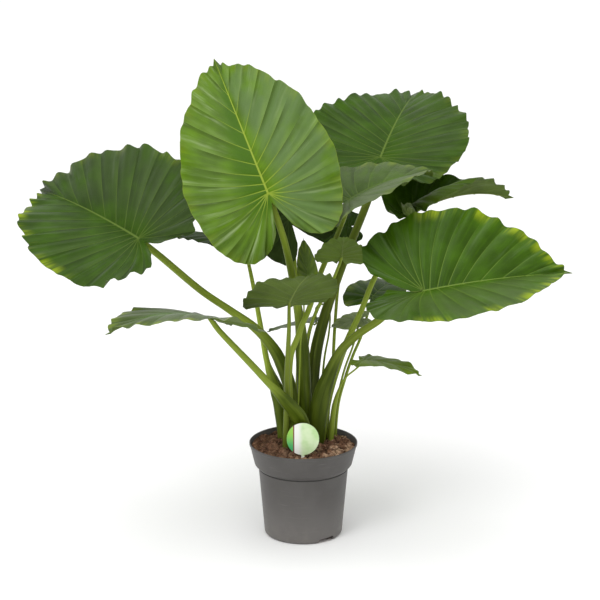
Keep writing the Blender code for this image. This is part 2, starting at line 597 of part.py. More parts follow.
def build():
    clear_scene()
    pot_object()
    look = material("label", LABEL_GREEN, LABEL_ROUGH)
    add_object("plant_label", label_shape(), look)
    holes = [add_object("stake_hole", label_shape(GAP), look)]
    for letter, leaf in LEAVES.items():
        blade = Blade(**leaf)
        blade_object(letter, leaf)
        petiole_object(letter, PETIOLES[letter], blade)
        holes.append(add_object("hole_" + letter, petiole_shape(PETIOLES[letter], blade, GAP), look))
    soil_object(holes)


build()
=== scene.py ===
"""The looks of the potted California alocasia: veined blades, sheathed petioles, coir soil and nursery pot.

Metres, +Z up, in the CAD model's frame. Angles are in degrees. The plant's three tables are in millimetres.
They repeat part.py's, without the seeds, which count the letters, and the folds and curls that most have.
"""

import json
from math import atan2, cos, exp, hypot, pi, radians, sin, sqrt

import bmesh
import bpy
import numpy as np
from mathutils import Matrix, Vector, noise

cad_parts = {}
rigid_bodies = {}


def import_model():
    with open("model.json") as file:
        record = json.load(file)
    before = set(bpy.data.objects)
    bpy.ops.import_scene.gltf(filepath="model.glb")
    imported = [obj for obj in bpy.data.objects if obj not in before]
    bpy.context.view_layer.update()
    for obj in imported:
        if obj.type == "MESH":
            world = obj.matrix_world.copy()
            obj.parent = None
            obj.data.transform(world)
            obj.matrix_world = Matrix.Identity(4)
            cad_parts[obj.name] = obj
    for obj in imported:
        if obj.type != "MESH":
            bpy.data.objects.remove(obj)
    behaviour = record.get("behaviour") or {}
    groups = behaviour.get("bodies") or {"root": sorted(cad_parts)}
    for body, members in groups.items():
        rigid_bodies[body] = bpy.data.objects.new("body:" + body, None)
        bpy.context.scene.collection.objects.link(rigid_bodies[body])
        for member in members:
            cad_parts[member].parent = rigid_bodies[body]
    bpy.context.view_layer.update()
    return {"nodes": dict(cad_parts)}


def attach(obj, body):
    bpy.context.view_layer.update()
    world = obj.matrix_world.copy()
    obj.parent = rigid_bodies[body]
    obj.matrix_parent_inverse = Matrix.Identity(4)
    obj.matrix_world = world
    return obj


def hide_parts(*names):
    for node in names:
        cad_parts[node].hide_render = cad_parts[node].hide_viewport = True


# Camera, in the photograph's place
CAMERA_AT = (-0.0065, -3.46, 1.37)
CAMERA_DOWN = 14.6
CAMERA_LENS = 112.62

# Blades, as in part.py
REACH_BACK = 0.485
REACH_TIP = 0.515
REACH_TURN = 47.0
LOBE_END = 160.0
LOBE_TURN = 128.0
LOBE_ROUND = 0.5
SINUS_BACK = 0.06
TIP_REACH = 1.03
FIRST_ANGLE = 1.5
ANGLE_POWER = 1.4
LAST_FOOT = 0.86
FOOT_TURN = 30.0
FOOT_LEAST = 0.06
LOBE_LENGTH = 0.45
LOBE_SHARE = 0.8
HALF_WIDTH = 0.55
VEIN_SHARE = 0.010
WAVE = 0.02
SWELLS = 1.7
RIB_SHARE = 0.014
RIB_LEAST = 0.0016

# What the solids leave out: the finer relief of a blade
BOW = 0.022  # how far a lateral vein bows back before it runs to the margin, in midrib lengths
BOW_ENDS = ((8, 40), (150, 30))  # the angles where the first and the last bow, and over how many degrees
TEETH = 0.011  # how uneven the margin is
TOOTH_WIDTH = 0.11  # how wide its points are, beside the distance of two veins
LOBE_CUTS = 0.008  # how deep the lobes' margins are cut between the veins
CUTS_START = (0.76, 0.12)  # where that begins, from 0 at the tip to 1 at the sinus, and how soon it is full
CUT_LOBES = {"b": 0.035}  # the blades on which they are cut deeper
SMOOTH_MARGINS = {"a": 0.5, "b": 0.8, "c": 0.75, "d": 0.6, "f": 0.7}  # how uneven they are beside the others
LOOSE_WAVE = 0.011  # how far the margin swings out and in over a few veins
RUFFLE = 0.009  # how far it waves besides the solid's own wave
RUFFLES = ((2.3, 1.0), (5.1, 0.7), (9.7, 0.5))  # how fast each of its waves runs, and its share
LOBE_RUFFLE = 1.2  # how much more than elsewhere on the lobes
LOBE_START = (0.72, 0.2)  # where that begins, and how soon it is full
QUILT = 0.0012  # how far the blade bulges between two veins, on a blade of QUILT_LENGTH
QUILT_LENGTH = 0.28
QUILT_START = 0.3  # how far out from the midrib the bulge is full
GROOVE = 0.0005  # how deep a vein lies in the upper face
BLADE_THICK = 0.0011
MARGIN_THICK = 0.0005
VEIN_DEPTH = 0.0011  # how far a lateral vein stands out below, at the midrib
VEIN_HALF = (0.0011, 0.0004)  # half a lateral vein's width, at the midrib and at the margin
RIB_HALF = (0.0020, 0.0004)  # half the midrib's width, at the petiole and at the tip
FAR_OFF = 9.0  # a value outside the materials' ranges, for the tip and for the ends of a half blade

LARGE = dict(steps=12, columns=34)  # mesh steps from vein to vein, and from the midrib to the margin
SMALL = dict(steps=8, columns=22)
LARGE_LENGTH = 0.2

# Each leaf's junction and length, in millimetres, with its heading, pitch and roll as its turn
LEAVES = {
    "a": dict(at=(-65, -100, 696), turn=(138, 60, 47), length=292, width=0.86, droop=30, fold=(6, 15),
              curl=(-16, -20), lobes=14, veins=14, ends=(168, 160)),
    "b": dict(at=(-314, 20, 585), turn=(138, 16, 41), length=335, width=0.90, droop=23, fold=(28, 30),
              curl=(-15, -45), lobes=-20, veins=14, ends=(160, 168)),
    "c": dict(at=(153, 204, 708.5), turn=(70, 32, -10), length=292, width=1.0, droop=30, fold=(8, 20),
              curl=(-14, -16), lobes=-18, veins=15),
    "d": dict(at=(85, -40, 673), turn=(33, 22, -6), length=200, width=0.82, droop=28, fold=(13, 20),
              curl=(-5, -5), lobes=25, veins=9),
    "e": dict(at=(206, 102, 612), turn=(27, 27, 9), length=224, width=0.74, droop=45, fold=(0, 60),
              curl=(90, -125), lobes=-100, veins=10, back=0.30),
    "f": dict(at=(224, -80, 507), turn=(4, 11, -37), length=277, width=0.97, droop=15, fold=(25, 40),
              curl=(-8, -22), lobes=-3, veins=13, ends=(157, 196)),
    "g": dict(at=(-170, -100, 460), turn=(-150, 22, -8), length=215, width=0.95, droop=42, curl=(-10, -10),
              lobes=0, veins=9),
    "h": dict(at=(-27, -100, 489), turn=(-75, 40, 0), length=155, width=1.0, droop=15, fold=(15, 15),
              lobes=-20, veins=9),
    "i": dict(at=(-117, 80, 568), turn=(165, 10, 0), length=140, width=0.9, droop=20, lobes=20, veins=8),
    "j": dict(at=(72, 8, 549.5), turn=(-88, 42, 2), length=96, width=0.93, droop=10, lobes=-20, veins=8),
    "k": dict(at=(-28, 70, 609), turn=(145, 45, 45), length=200, width=0.75, droop=20, lobes=0, veins=8),
    "l": dict(at=(9, -54, 527), turn=(125, 75, 45), length=72, width=0.48, droop=10, lobes=-10, veins=6),
    "m": dict(at=(136, 145, 437), turn=(60, 15, -10), length=118, width=0.9, droop=20, lobes=20, veins=6),
    "n": dict(at=(111, 72, 413), turn=(-170, -10, 20), length=60, width=0.8, droop=10, lobes=10, veins=6),
    "o": dict(at=(118, -10, 353), turn=(-25, 5, 0), length=115, width=0.6, droop=25, lobes=10, veins=6,
              back=0.5),
    "p": dict(at=(11, 100, 403), turn=(-168, -8, -10), length=85, width=0.8, droop=10, lobes=0, veins=6),
    "q": dict(at=(88, 150, 580), turn=(175, 0, 25), length=85, width=1.1, droop=20, lobes=10, veins=8),
}

# A petiole's route from the soil up to its blade, in millimetres
ROUTES = {
    "a": [(5, 22, 120), (5, 22, 178), (3, 20, 253), (-1, 14, 336), (-6, 4, 419), (-20, -45, 519),
          (-36, -85, 605)],
    "b": [(-17, 14, 120), (-18, 14, 181), (-22, 10, 266), (-37, 8, 327), (-58, 12, 370), (-93, 20, 408),
          (-141, 25, 442), (-198, 30, 481), (-270, 30, 544)],
    "c": [(15, 45, 120), (15, 45, 170), (17, 45, 265), (25, 48, 352), (42, 55, 424), (63, 65, 486),
          (91, 95, 555), (124, 128, 631)],
    "d": [(-22, -12, 120), (-22, -12, 190), (-26, -15, 254), (-28, -24, 316), (-24, -32, 368),
          (-12, -34, 402), (-1, -28, 431), (12, -12, 458), (34, 41, 514), (56, 40, 565), (75, -4, 626)],
    "e": [(37, 28, 120), (37, 28, 176), (48, 28, 260), (67, 30, 331), (90, 35, 390), (112, 50, 434),
          (141, 70, 501)],
    "f": [(25, 6, 120), (25, 6, 184), (32, 0, 259), (47, -6, 315), (70, -15, 370), (102, -30, 408),
          (141, -45, 440), (164, -60, 465)],
    "g": [(4, -10, 120), (3, -10, 189), (-8, -36, 244), (-35, -60, 288), (-67, -80, 330), (-98, -90, 368),
          (-148, -100, 426)],
    "h": [(-34, -22, 120), (-34, -22, 193), (-31, -31, 270), (-31, -55, 336), (-29, -80, 389),
          (-27, -95, 438)],
    "i": [(-40, 35, 120), (-40, 35, 170), (-47, 40, 257), (-69, 45, 326), (-80, 55, 384), (-92, 65, 452),
          (-105, 75, 517)],
    "j": [(0, 55, 120), (-1, 55, 167), (-1, 56, 251), (3, 56, 323), (11, 52, 389), (28, 45, 441),
          (52, 20, 493)],
    "k": [(-14, 46, 120), (-14, 46, 170), (-12, 48, 244), (-10, 50, 325), (-9, 52, 408), (-14, 60, 492),
          (-21, 68, 560)],
    "l": [(-12.5, -2, 120), (-12.5, -3, 170), (-11.5, -4, 220), (-9, -6, 280), (-7, -8, 340),
          (-5, -10, 390), (0, -14.5, 430), (1, -15, 455), (1, -26, 475), (5, -41, 503)],
    "m": [(60, 48, 120), (62, 49, 169), (68, 50, 243), (82, 55, 297), (97, 72, 337), (115, 98, 373)],
    "n": [(58, 38, 120), (56, 38, 173), (60, 38, 226), (70, 40, 277), (81, 45, 320), (97, 55, 363)],
    "o": [(55, 25, 120), (54, 25, 177), (60, 22, 248), (71, 16, 290), (82, 10, 312), (99, 0, 330)],
    "p": [(34, 64, 120), (35, 64, 164), (35, 66, 248), (41, 74, 328), (50, 86, 378), (52, 94, 416),
          (42, 98, 434), (25, 100, 427)],
    "q": [(46, 50, 120), (47, 50, 169), (50, 50, 243), (58, 52, 298), (59, 62, 348), (62, 82, 399),
          (68, 108, 467), (78, 134, 528)],
}

# Some heights along a petiole with its half widths along X and Y, in millimetres
GIRTHS = {
    "a": [(120, 12, 11), (250, 13, 11), (360, 13, 10), (440, 9, 8), (520, 7, 7), (700, 6, 6)],
    "b": [(120, 11, 10), (250, 12, 9), (340, 13, 8.5), (400, 9, 8), (450, 7, 7), (600, 6.5, 6.5)],
    "c": [(120, 10.5, 10), (300, 12, 10), (400, 11, 9), (480, 8.5, 8), (720, 7, 7)],
    "d": [(120, 6.5, 6.5), (300, 7, 6), (400, 5.5, 5), (660, 4.7, 4.7)],
    "e": [(120, 6.5, 6.5), (330, 7.5, 6.5), (430, 5.5, 5.5), (610, 4.7, 4.7)],
    "f": [(120, 14, 8.5), (200, 16, 9), (260, 18, 9), (310, 14, 9), (370, 9, 8), (420, 7.5, 7.5),
          (510, 7, 7)],
    "g": [(120, 13, 7.5), (190, 15, 8), (250, 16, 7.5), (290, 13, 7), (320, 7.5, 6.5), (460, 5, 5)],
    "h": [(120, 6, 6), (270, 6.3, 6), (400, 4.5, 4.5), (490, 3, 3)],
    "i": [(120, 9, 9), (190, 10, 9), (230, 13, 9), (270, 14, 9), (300, 10, 8), (330, 6, 6), (450, 4.5, 4.5),
          (570, 3, 3)],
    "j": [(120, 4.5, 4.5), (330, 4, 4), (550, 2.8, 2.8)],
    "k": [(120, 4.5, 4.5), (400, 4.5, 4.5), (620, 4, 4)],
    "l": [(120, 1.6, 1.6), (520, 1.5, 1.5)],
    "m": [(120, 3.5, 3.5), (440, 2.6, 2.6)],
    "n": [(120, 2.8, 2.8), (410, 1.8, 1.8)],
    "o": [(120, 5, 5), (200, 5.6, 5), (250, 5, 4.5), (280, 3, 3), (300, 1.8, 1.8), (350, 1.6, 1.6)],
    "p": [(120, 3, 3), (400, 1.8, 1.8)],
    "q": [(120, 3.5, 3.5), (590, 3, 3)],
}

# How each leaf is coloured: its body, veins, the grey of its painted sheen, the painted highlight on its
# folds and its painted glints, how far the veins stay pale (0 at the midrib, 1 at the margin), how strongly
# the folds' painted light and shade and the veins show, how much it shines above, and how light it is below.
# Pairs are for its left and its right half: how much yellow the margin has, and how much painted sheen and
# dark beside the midrib and how many painted glints there are. yellow_to counts the veins from the tip.
YOUNG = dict(
    body=(0.078, 0.158, 0.001), vein=(0.24, 0.32, 0.03), pale_to=0.35, yellow=(0.2, 0.2), yellow_to=14,
    fold_shading=1.0, veins=0.8, painted_sheen=(0.2, 0.8), sheen_grey=(0.094, 0.158, 0.050), lit=(0.160, 0.255, 0.055),
    dark=(1.0, 0.0), glint=(0.31, 0.40, 0.19), glints=(1.2, 0.5), shine=0.12, under=1.0)
GROWN = dict(
    body=(0.030, 0.072, 0.002), vein=(0.095, 0.150, 0.022), pale_to=1.0, yellow=(0.3, 0.3), yellow_to=20,
    fold_shading=0.8, veins=0.6, painted_sheen=(0.0, 0.0), sheen_grey=(0.052, 0.070, 0.031), lit=(0.062, 0.112, 0.020),
    dark=(0.0, 0.0), glint=(0.085, 0.118, 0.062), glints=(1.0, 1.0), shine=0.11, under=1.0)
LOW = dict(
    GROWN, body=(0.041, 0.100, 0.002), vein=(0.135, 0.215, 0.03), pale_to=0.9, yellow=(0.6, 0.6), fold_shading=0.5,
    veins=0.75, lit=(0.075, 0.150, 0.016), glint=(0.105, 0.175, 0.055), shine=0.12)
# DARK is a shaded copy of GROWN, for the leaves that hang in the shade of others: its darker body and veins
# are partly painted shade.
DARK = dict(
    GROWN, body=(0.027, 0.060, 0.005), vein=(0.05, 0.085, 0.018), pale_to=0.9, yellow=(0.0, 0.0), shine=0.03)
TONES = {
    "a": YOUNG,
    "b": dict(GROWN, yellow=(0.8, 0.2), yellow_to=9, painted_sheen=(0.0, 0.5), sheen_grey=(0.038, 0.055, 0.022)),
    "c": dict(GROWN, yellow=(0.0, 0.15), painted_sheen=(0.0, 0.2), sheen_grey=(0.044, 0.062, 0.024), shine=0.07),
    "d": dict(GROWN, body=(0.046, 0.096, 0.003), painted_sheen=(0.3, 0.7), sheen_grey=(0.108, 0.140, 0.066), shine=0.13),
    "e": dict(GROWN, yellow=(0.0, 0.0), painted_sheen=(0.0, 0.6), sheen_grey=(0.052, 0.080, 0.008), shine=0.03),
    "f": dict(LOW, yellow=(1.0, 0.9), yellow_to=8, painted_sheen=(0.0, 0.45), sheen_grey=(0.090, 0.130, 0.044)),
    "g": dict(LOW, painted_sheen=(0.7, 0.7), sheen_grey=(0.085, 0.108, 0.046)),
    "h": GROWN,
    "i": DARK,
    "j": dict(GROWN, under=1.6),
    "k": dict(DARK, body=(0.036, 0.060, 0.014)),
    "l": dict(GROWN, body=(0.085, 0.135, 0.022), lit=(0.11, 0.17, 0.03), fold_shading=0.4, under=1.4),
    "m": LOW,
    "n": dict(GROWN, body=(0.230, 0.285, 0.140), lit=(0.27, 0.33, 0.17), glint=(0.30, 0.36, 0.22), fold_shading=0.3,
              under=2.2),
    "o": dict(LOW, body=(0.150, 0.235, 0.020), yellow=(0.0, 0.0), lit=(0.20, 0.30, 0.03), fold_shading=0.3),
    "p": dict(GROWN, body=(0.085, 0.140, 0.030), under=1.4),
    "q": DARK,
}
YELLOW = (0.27, 0.36, 0.012)
BESIDE_RIB = (0.044, 0.112, 0.003)
UNDER_GREEN = (0.098, 0.142, 0.022)
UNDER_VEIN = (0.155, 0.205, 0.040)

# Petioles
TUBE_SIDES = 24
TUBE_STEP = 0.006
MEET_ANGLE = 40.0
KNUCKLE = 0.016
STOP_SHORT = 1.2  # how far before its end a tube's last round ring is, in half widths
LOOK_AHEAD = 0.008  # how far ahead and behind a stalk's direction is taken
SHEATH_END = {"a": 0.42, "b": 0.36, "c": 0.42, "d": 0.36, "e": 0.36, "f": 0.34, "g": 0.29, "i": 0.33}
SHEATH_FADE = 0.06  # the height over which a sheath closes
SHEATH_DEPTH = 0.34  # of the groove between the sheath's edges, as a share of the stalk's radius
SHEATH_GROOVE = 0.3  # how wide that groove is, in radians
SHEATH_LIP = 0.16  # how far the edges stand out, as a share of the radius
LIP_PLACE = (0.5, 0.16)  # how far from the groove's middle an edge is, and its width, in radians
PLANT_AXIS = (0.008, 0.022)
# The sheaths' darker green and the slim stalks' lighter green are partly painted light: shade on the bunched
# sheaths, a highlight on the stalks' tops.
SHEATH_GREEN = (0.050, 0.078, 0.002)
STALK_GREEN = (0.240, 0.318, 0.036)
LIP_GREEN = (0.17, 0.22, 0.03)
# Painted shade on the stalks near the soil: its colour, and where it ends and the height over which it
# fades.
SHADE_NEAR_SOIL_GREEN = (0.040, 0.062, 0.006)
SHADE_NEAR_SOIL_TOP = (0.24, 0.07)  # where the duller base ends, and the height over which it fades
SLIM = (0.0120, 0.0060)  # the half widths between which a stalk goes from one green to the other
# BRIGHT_STALKS is partly painted light and shade too: h's stalk is darker for the shade under its blade.
BRIGHT_STALKS = {"c": 0.65, "d": 0.9, "f": 0.8, "g": 0.95, "h": 0.6, "i": 1.2}  # how light beside the others

# Pot
POT_RIM_RADIUS = 0.105
POT_HEIGHT = 0.185
POT_WALL = 0.002
POT_FLOOR = 0.003
POT_LIP = 0.0012
POT_BAND_END = (0.0950, 0.1415)
POT_BODY_TOP = (0.0872, 0.1345)
POT_FOOT_RADIUS = 0.0760
POT_FOOT_ROUND = 0.006
POT_SIDES = 144
NOTCH_WIDTH = 0.042
NOTCH_HEIGHT = 0.0095
NOTCH_TURNS = (-55.0, 125.0)
NOTCH_BAR = (-0.014, 0.008)  # from where to where a notch's cutter is, beside the foot's radius
SEAM = 0.0018  # how high the seam under the band is
# In TAUPE, low is painted bounce light from the floor, and seam_shadow the painted shadow in the groove
# under the band.
TAUPE = dict(dark=(0.056, 0.051, 0.047), light=(0.070, 0.065, 0.061), low=(0.18, 0.168, 0.158),
             dust=(0.20, 0.18, 0.16), seam_shadow=(0.018, 0.017, 0.016), scuff=(0.20, 0.19, 0.18))

# Soil
SOIL_LEVEL = 0.180
SOIL_LUMP = 0.0035
SOIL_EDGE = (0.7, 0.012)
SOIL_BACK = (0.05, 0.035)
SOIL_DIP = (0.035, 0.008)
SOIL_RINGS = 120
SOIL_SPOKES = 260
SOIL_GAP = 0.0004  # how far the soil stays off the pot's wall and floor
SOIL_AT_WALL = (0.004, 0.0006)  # how far down the wall's radius is taken for its top, and the gap there
SOIL_RIM = (1.02, 0.06)  # where its lumps fade out, and over what width, as shares of its radius
# SOIL_SIDE_GAP is painted shade on the soil's side, where the pot's wall shades it.
SOIL_SIDE_GAP = 0.6  # how dark its side is, as the gaps between lumps are
COIR_LUMP = 0.016  # the size of a lump
COIR_CRUMB = 0.0045
COIR_RISE = 0.0065
FIBRES = 420
FIBRE_LENGTH = (0.006, 0.020)
FIBRE_HALF = (0.00012, 0.0003)
FIBRE_STEPS = 5
FIBRE_BEND = 2.5
FIBRE_RISE = (0.0008, 0.004)  # how far a fibre's ends are over the soil, and how far its middle may rise
FIBRE_REACH = 0.099  # how far from the pot's axis a fibre may end
CHIPS = 520
CHIP_SIZE = (0.0016, 0.0045)
STREWN = 0.093  # how far from the pot's axis the chips and fibres start
SEED = 11
COIR = dict(dark=(0.17, 0.076, 0.044), light=(0.42, 0.225, 0.130), between=(0.13, 0.066, 0.040),
            crumb=(0.46, 0.29, 0.18), pale=(0.56, 0.37, 0.245), gap=(0.018, 0.009, 0.006))
FIBRE_BROWNS = ((0.10, 0.05, 0.028), (0.30, 0.19, 0.11))

# Label
LABEL_CENTRE = (-0.001, -0.058)
LABEL_SOIL = 0.177  # the height from which down the stake has its own colour
LABEL = dict(
    low=(0.50, 0.72, 0.34), mist=(0.68, 0.83, 0.53), white=(0.88, 0.90, 0.84), green=(0.06, 0.42, 0.14),
    lime=(0.30, 0.60, 0.09), wine=(0.20, 0.015, 0.045), back=(0.80, 0.80, 0.77), stake=(0.72, 0.76, 0.66))

# Studio
WORLD_STRENGTH = 0.80
SUN = dict(power=1.1, angle=60, turn=(25, -14, 0))
SOFTBOXES = {  # where each is, where it aims, its size and its power
    "key": ((-1.6, -2.2, 2.8), (0, 0, 0.55), 1.2, 22),
    "top": ((0.4, 0.3, 2.9), (0, 0, 0.5), 1.6, 14),
}


# Node helpers, most of which find the tree by a socket that they are given


def node(tree, kind, inputs, **settings):
    """A node with its settings, whose inputs are either linked or set."""
    made = tree.nodes.new("ShaderNode" + kind)
    for name, value in settings.items():
        setattr(made, name, value)
    for name, value in inputs.items():
        if isinstance(value, bpy.types.NodeSocket):
            tree.links.new(value, made.inputs[name])
        else:
            made.inputs[name].default_value = value
    return made


def maths(operation, a, b=0.0):
    return node(a.id_data, "Math", {0: a, 1: b}, operation=operation).outputs[0]


def times(product, *factors):
    for factor in factors:
        product = maths("MULTIPLY", product, factor)
    return product


def fade(value, start, end, low=0.0, high=1.0, kind="SMOOTHSTEP"):
    """From low where value is start to high where it is end."""
    limits = {"Value": value, "From Min": start, "From Max": end, "To Min": low, "To Max": high}
    return node(value.id_data, "MapRange", limits, interpolation_type=kind).outputs["Result"]


def split(vector):
    return node(vector.id_data, "SeparateXYZ", {"Vector": vector}).outputs


def blend(share, under, over):
    """A mix of two colours, each linked or given as three numbers."""
    colours = [c if isinstance(c, bpy.types.NodeSocket) else (*c, 1.0) for c in (under, over)]
    return node(share.id_data, "Mix", {0: share, 6: colours[0], 7: colours[1]}, data_type="RGBA").outputs[2]


def grain(where, scale, detail=3.0, rough=0.55):
    inputs = {"Vector": where, "Scale": scale, "Detail": detail, "Roughness": rough}
    return node(where.id_data, "TexNoise", inputs).outputs["Fac"]


def streaks(where, sizes, scale, detail, rough=0.55):
    """Grain that is stretched by another factor along each axis."""
    stretched = node(where.id_data, "Mapping", {"Vector": where, "Scale": sizes}).outputs["Vector"]
    return grain(stretched, scale, detail, rough)


def net(flat):
    """How far each place on a blade is from the fine net of its smallest veins."""
    inputs = {"Vector": flat, "Scale": 260.0}
    return node(flat.id_data, "TexVoronoi", inputs, feature="DISTANCE_TO_EDGE").outputs["Distance"]


def by_side(flat, shares):
    """The first share on a blade's left half, and the second on its right."""
    return fade(split(flat)["Y"], -0.004, 0.004, shares[1], shares[0], "LINEAR")


def shade(colour, factor):
    return tuple(c * factor for c in colour)


class Look:
    """A node material on the Principled shader, whose colour is painted first and then gets coats."""

    def __init__(self, name, roughness, specular=0.28):
        self.made = bpy.data.materials.new(name)
        self.made.use_nodes = True
        self.tree = self.made.node_tree
        self.inputs = self.tree.nodes["Principled BSDF"].inputs
        self.inputs["Roughness"].default_value = roughness
        self.inputs["Specular IOR Level"].default_value = specular

    def value(self, name):
        """The mesh's own number of that name."""
        return node(self.tree, "Attribute", {}, attribute_name=name).outputs["Fac"]

    def uv(self, name):
        return node(self.tree, "UVMap", {}, uv_map=name).outputs["UV"]

    def where(self):
        return node(self.tree, "TexCoord", {}).outputs["Object"]

    def paint(self, colour):
        self.colour = colour
        self.tree.links.new(colour, self.inputs["Base Color"])

    def coat(self, share, colour):
        """Lays a colour over what is there, as thick as the share."""
        self.paint(blend(share, self.colour, colour))

    def gloss(self, value, low, high):
        """Roughness from low to high, as the value goes from 0 to 1."""
        self.tree.links.new(fade(value, 0.0, 1.0, low, high, "LINEAR"), self.inputs["Roughness"])

    def relief(self, height, distance, strength=0.5):
        made = node(self.tree, "Bump", {"Height": height, "Distance": distance, "Strength": strength})
        self.tree.links.new(made.outputs["Normal"], self.inputs["Normal"])


# Materials


def leaf_ground(look, body, scale, shades, sizes, share):
    """A blade's mottled body and its streaks. The shades are the body's least and most, and the streaks'."""
    low, high, bright = (shade(body, factor) for factor in shades)
    look.paint(blend(fade(grain(look.uv("flat"), scale, 2), 0.35, 0.7), low, high))
    # The streaks are lighter than the body: partly a painted highlight along the rays.
    streaky = streaks(look.uv("rays"), sizes, 1.6, 4)
    look.coat(times(fade(streaky, 0.45, 0.75), share), bright)
    return streaky


def leaf_upper(letter, tone):
    """A blade's glossy upper face: ribs, painted fold shading, streaks, painted sheen and glints, and a
    yellow margin.
    """
    look = Look("leaf_" + letter + "_upper", 0.36, tone["shine"])
    flat, rays, body = look.uv("flat"), look.uv("rays"), tone["body"]
    ray = split(rays)["X"]
    outwards, vein, inside = (look.value(name) for name in ("outwards", "vein", "inside"))
    streaky = leaf_ground(look, body, 14, (0.74, 1.2, 1.5), (2.6, 1.1, 1), 0.5)
    # Painted sheen: a grey veil in broad patches, standing in for the reflection of the white surroundings.
    painted_sheen = times(by_side(flat, tone["painted_sheen"]), fade(outwards, 0.0, 0.35))
    look.coat(times(painted_sheen, fade(grain(flat, 9, 3), 0.30, 0.55)), tone["sheen_grey"])
    look.coat(times(by_side(flat, tone["dark"]), fade(outwards, 0.50, 0.15), 0.9), BESIDE_RIB)
    past = maths("FRACT", ray)
    uneven = fade(streaks(rays, (0.8, 1.4, 1), 1.0, 2), 0.36, 0.60)
    fold_shading = times(uneven, fade(outwards, 0.06, 0.5), tone["fold_shading"])
    # Painted shade on one side of each fold and a painted highlight on the other, as if lit from the upper
    # left.
    look.coat(times(fade(past, 0.40, 0.0), times(fold_shading, 0.75)), shade(body, 0.42))
    look.coat(times(fade(past, 0.55, 0.95), times(fold_shading, 0.6)), tone["lit"])
    # Painted glints: pale highlights along the rays, towards the margin.
    glints = times(fade(streaks(rays, (2.6, 0.9, 1), 1.0, 4), 0.52, 0.74), fade(outwards, 0.2, 0.6))
    look.coat(times(glints, by_side(flat, tone["glints"]), 0.5), tone["glint"])
    patches = fade(streaks(rays, (2.3, 0.5, 1), 1.0, 3), 0.42, 0.62)
    near_tip = fade(ray, tone["yellow_to"] + 1.0, tone["yellow_to"] - 1.0)
    look.coat(times(fade(inside, 26.0, 0.0), patches, near_tip, by_side(flat, tone["yellow"])), YELLOW)
    pale = times(fade(vein, 1.3, 0.5), fade(outwards, tone["pale_to"] + 0.3, 0.0))
    look.coat(times(pale, tone["veins"]), tone["vein"])
    look.coat(fade(look.value("rib"), 1.4, 0.7), tone["vein"])
    look.coat(times(fade(inside, 1.3, 0.4), 0.5), shade(tone["vein"], 0.8))
    look.gloss(streaky, 0.26, 0.44)
    wrinkles = streaks(rays, (2.2, 10.0, 1), 1.0, 4)
    look.relief(maths("ADD", times(fade(net(flat), 0.0, 0.12), 0.15), wrinkles), 0.0012)
    return look.made


def leaf_under(letter, tone):
    """A blade's matte lower face, olive, with its ribs standing out."""
    look = Look("leaf_" + letter + "_under", 0.62, 0.2)
    flat = look.uv("flat")
    body = [tone["under"] * (0.7 * a + 0.3 * b) for a, b in zip(UNDER_GREEN, tone["body"])]
    leaf_ground(look, body, 16, (0.82, 1.15, 1.4), (3.0, 1.2, 1), 0.35)
    look.coat(times(fade(look.value("vein"), 1.8, 0.6), 0.35), UNDER_VEIN)
    look.coat(fade(look.value("rib"), 1.6, 0.9), UNDER_VEIN)
    look.relief(maths("ADD", fade(net(flat), 0.12, 0.0), grain(flat, 120, 4)), 0.0004)
    return look.made


def petiole_look(letter, bright):
    """A stalk's skin: fine streaks, lighter where slim (partly painted light), a pale sheath edge, painted
    shade low down.
    """
    look = Look("petiole_" + letter, 0.42, 0.12)
    along = look.uv("along")
    fine = streaks(along, (24, 9, 1), 1.0, 5)
    dark, light = (
        blend(fade(fine, 0.3, 0.7), shade(green, 0.86 * bright), shade(green, most * bright))
        for green, most in ((SHEATH_GREEN, 1.15), (STALK_GREEN, 1.12))
    )
    look.paint(blend(look.value("slim"), dark, light))
    look.coat(times(fade(grain(along, 5, 3), 0.45, 0.75), 0.5), light)
    look.coat(times(look.value("lip"), 0.55), LIP_GREEN)
    # Painted shade on the stalk near the soil.
    look.coat(times(look.value("shade_near_soil"), 0.35), SHADE_NEAR_SOIL_GREEN)
    look.gloss(fine, 0.34, 0.52)
    look.relief(fine, 0.0005)
    return look.made


def pot_look():
    """Satin taupe plastic with fine grain, faint moulding rings, a painted shadow under the band, painted
    bounce light and dust low down.
    """
    look = Look("pot_plastic", 0.5, 0.55)
    where = look.where()
    height, top = split(where)["Z"], POT_BODY_TOP[1]
    look.paint(blend(fade(grain(where, 18, 4), 0.3, 0.7), TAUPE["dark"], TAUPE["light"]))
    # Painted bounce light from the floor, lightening the pot towards its foot.
    look.coat(times(fade(height, 0.12, 0.0), 0.5), TAUPE["low"])
    look.coat(times(fade(height, 0.05, 0.0), fade(grain(where, 60, 5), 0.4, 0.7), 0.3), TAUPE["dust"])
    # A painted shadow line in the groove under the band.
    below, above = fade(height, top - SEAM, top - SEAM + 0.0006), fade(height, top + 0.0014, top + 0.0008)
    look.coat(times(below, above, 0.65), TAUPE["seam_shadow"])
    scuffs = streaks(where, (6, 6, 160), 3.0, 4)
    look.coat(times(fade(scuffs, 0.60, 0.75), 0.25), TAUPE["scuff"])
    look.gloss(scuffs, 0.40, 0.60)
    waves = {"Vector": where, "Scale": 260.0, "Distortion": 0.3}
    rings = node(look.tree, "TexWave", waves, bands_direction="Z").outputs["Fac"]
    look.relief(maths("ADD", times(rings, 0.12), grain(where, 1400, 2)), 0.0001, 0.35)
    return look.made


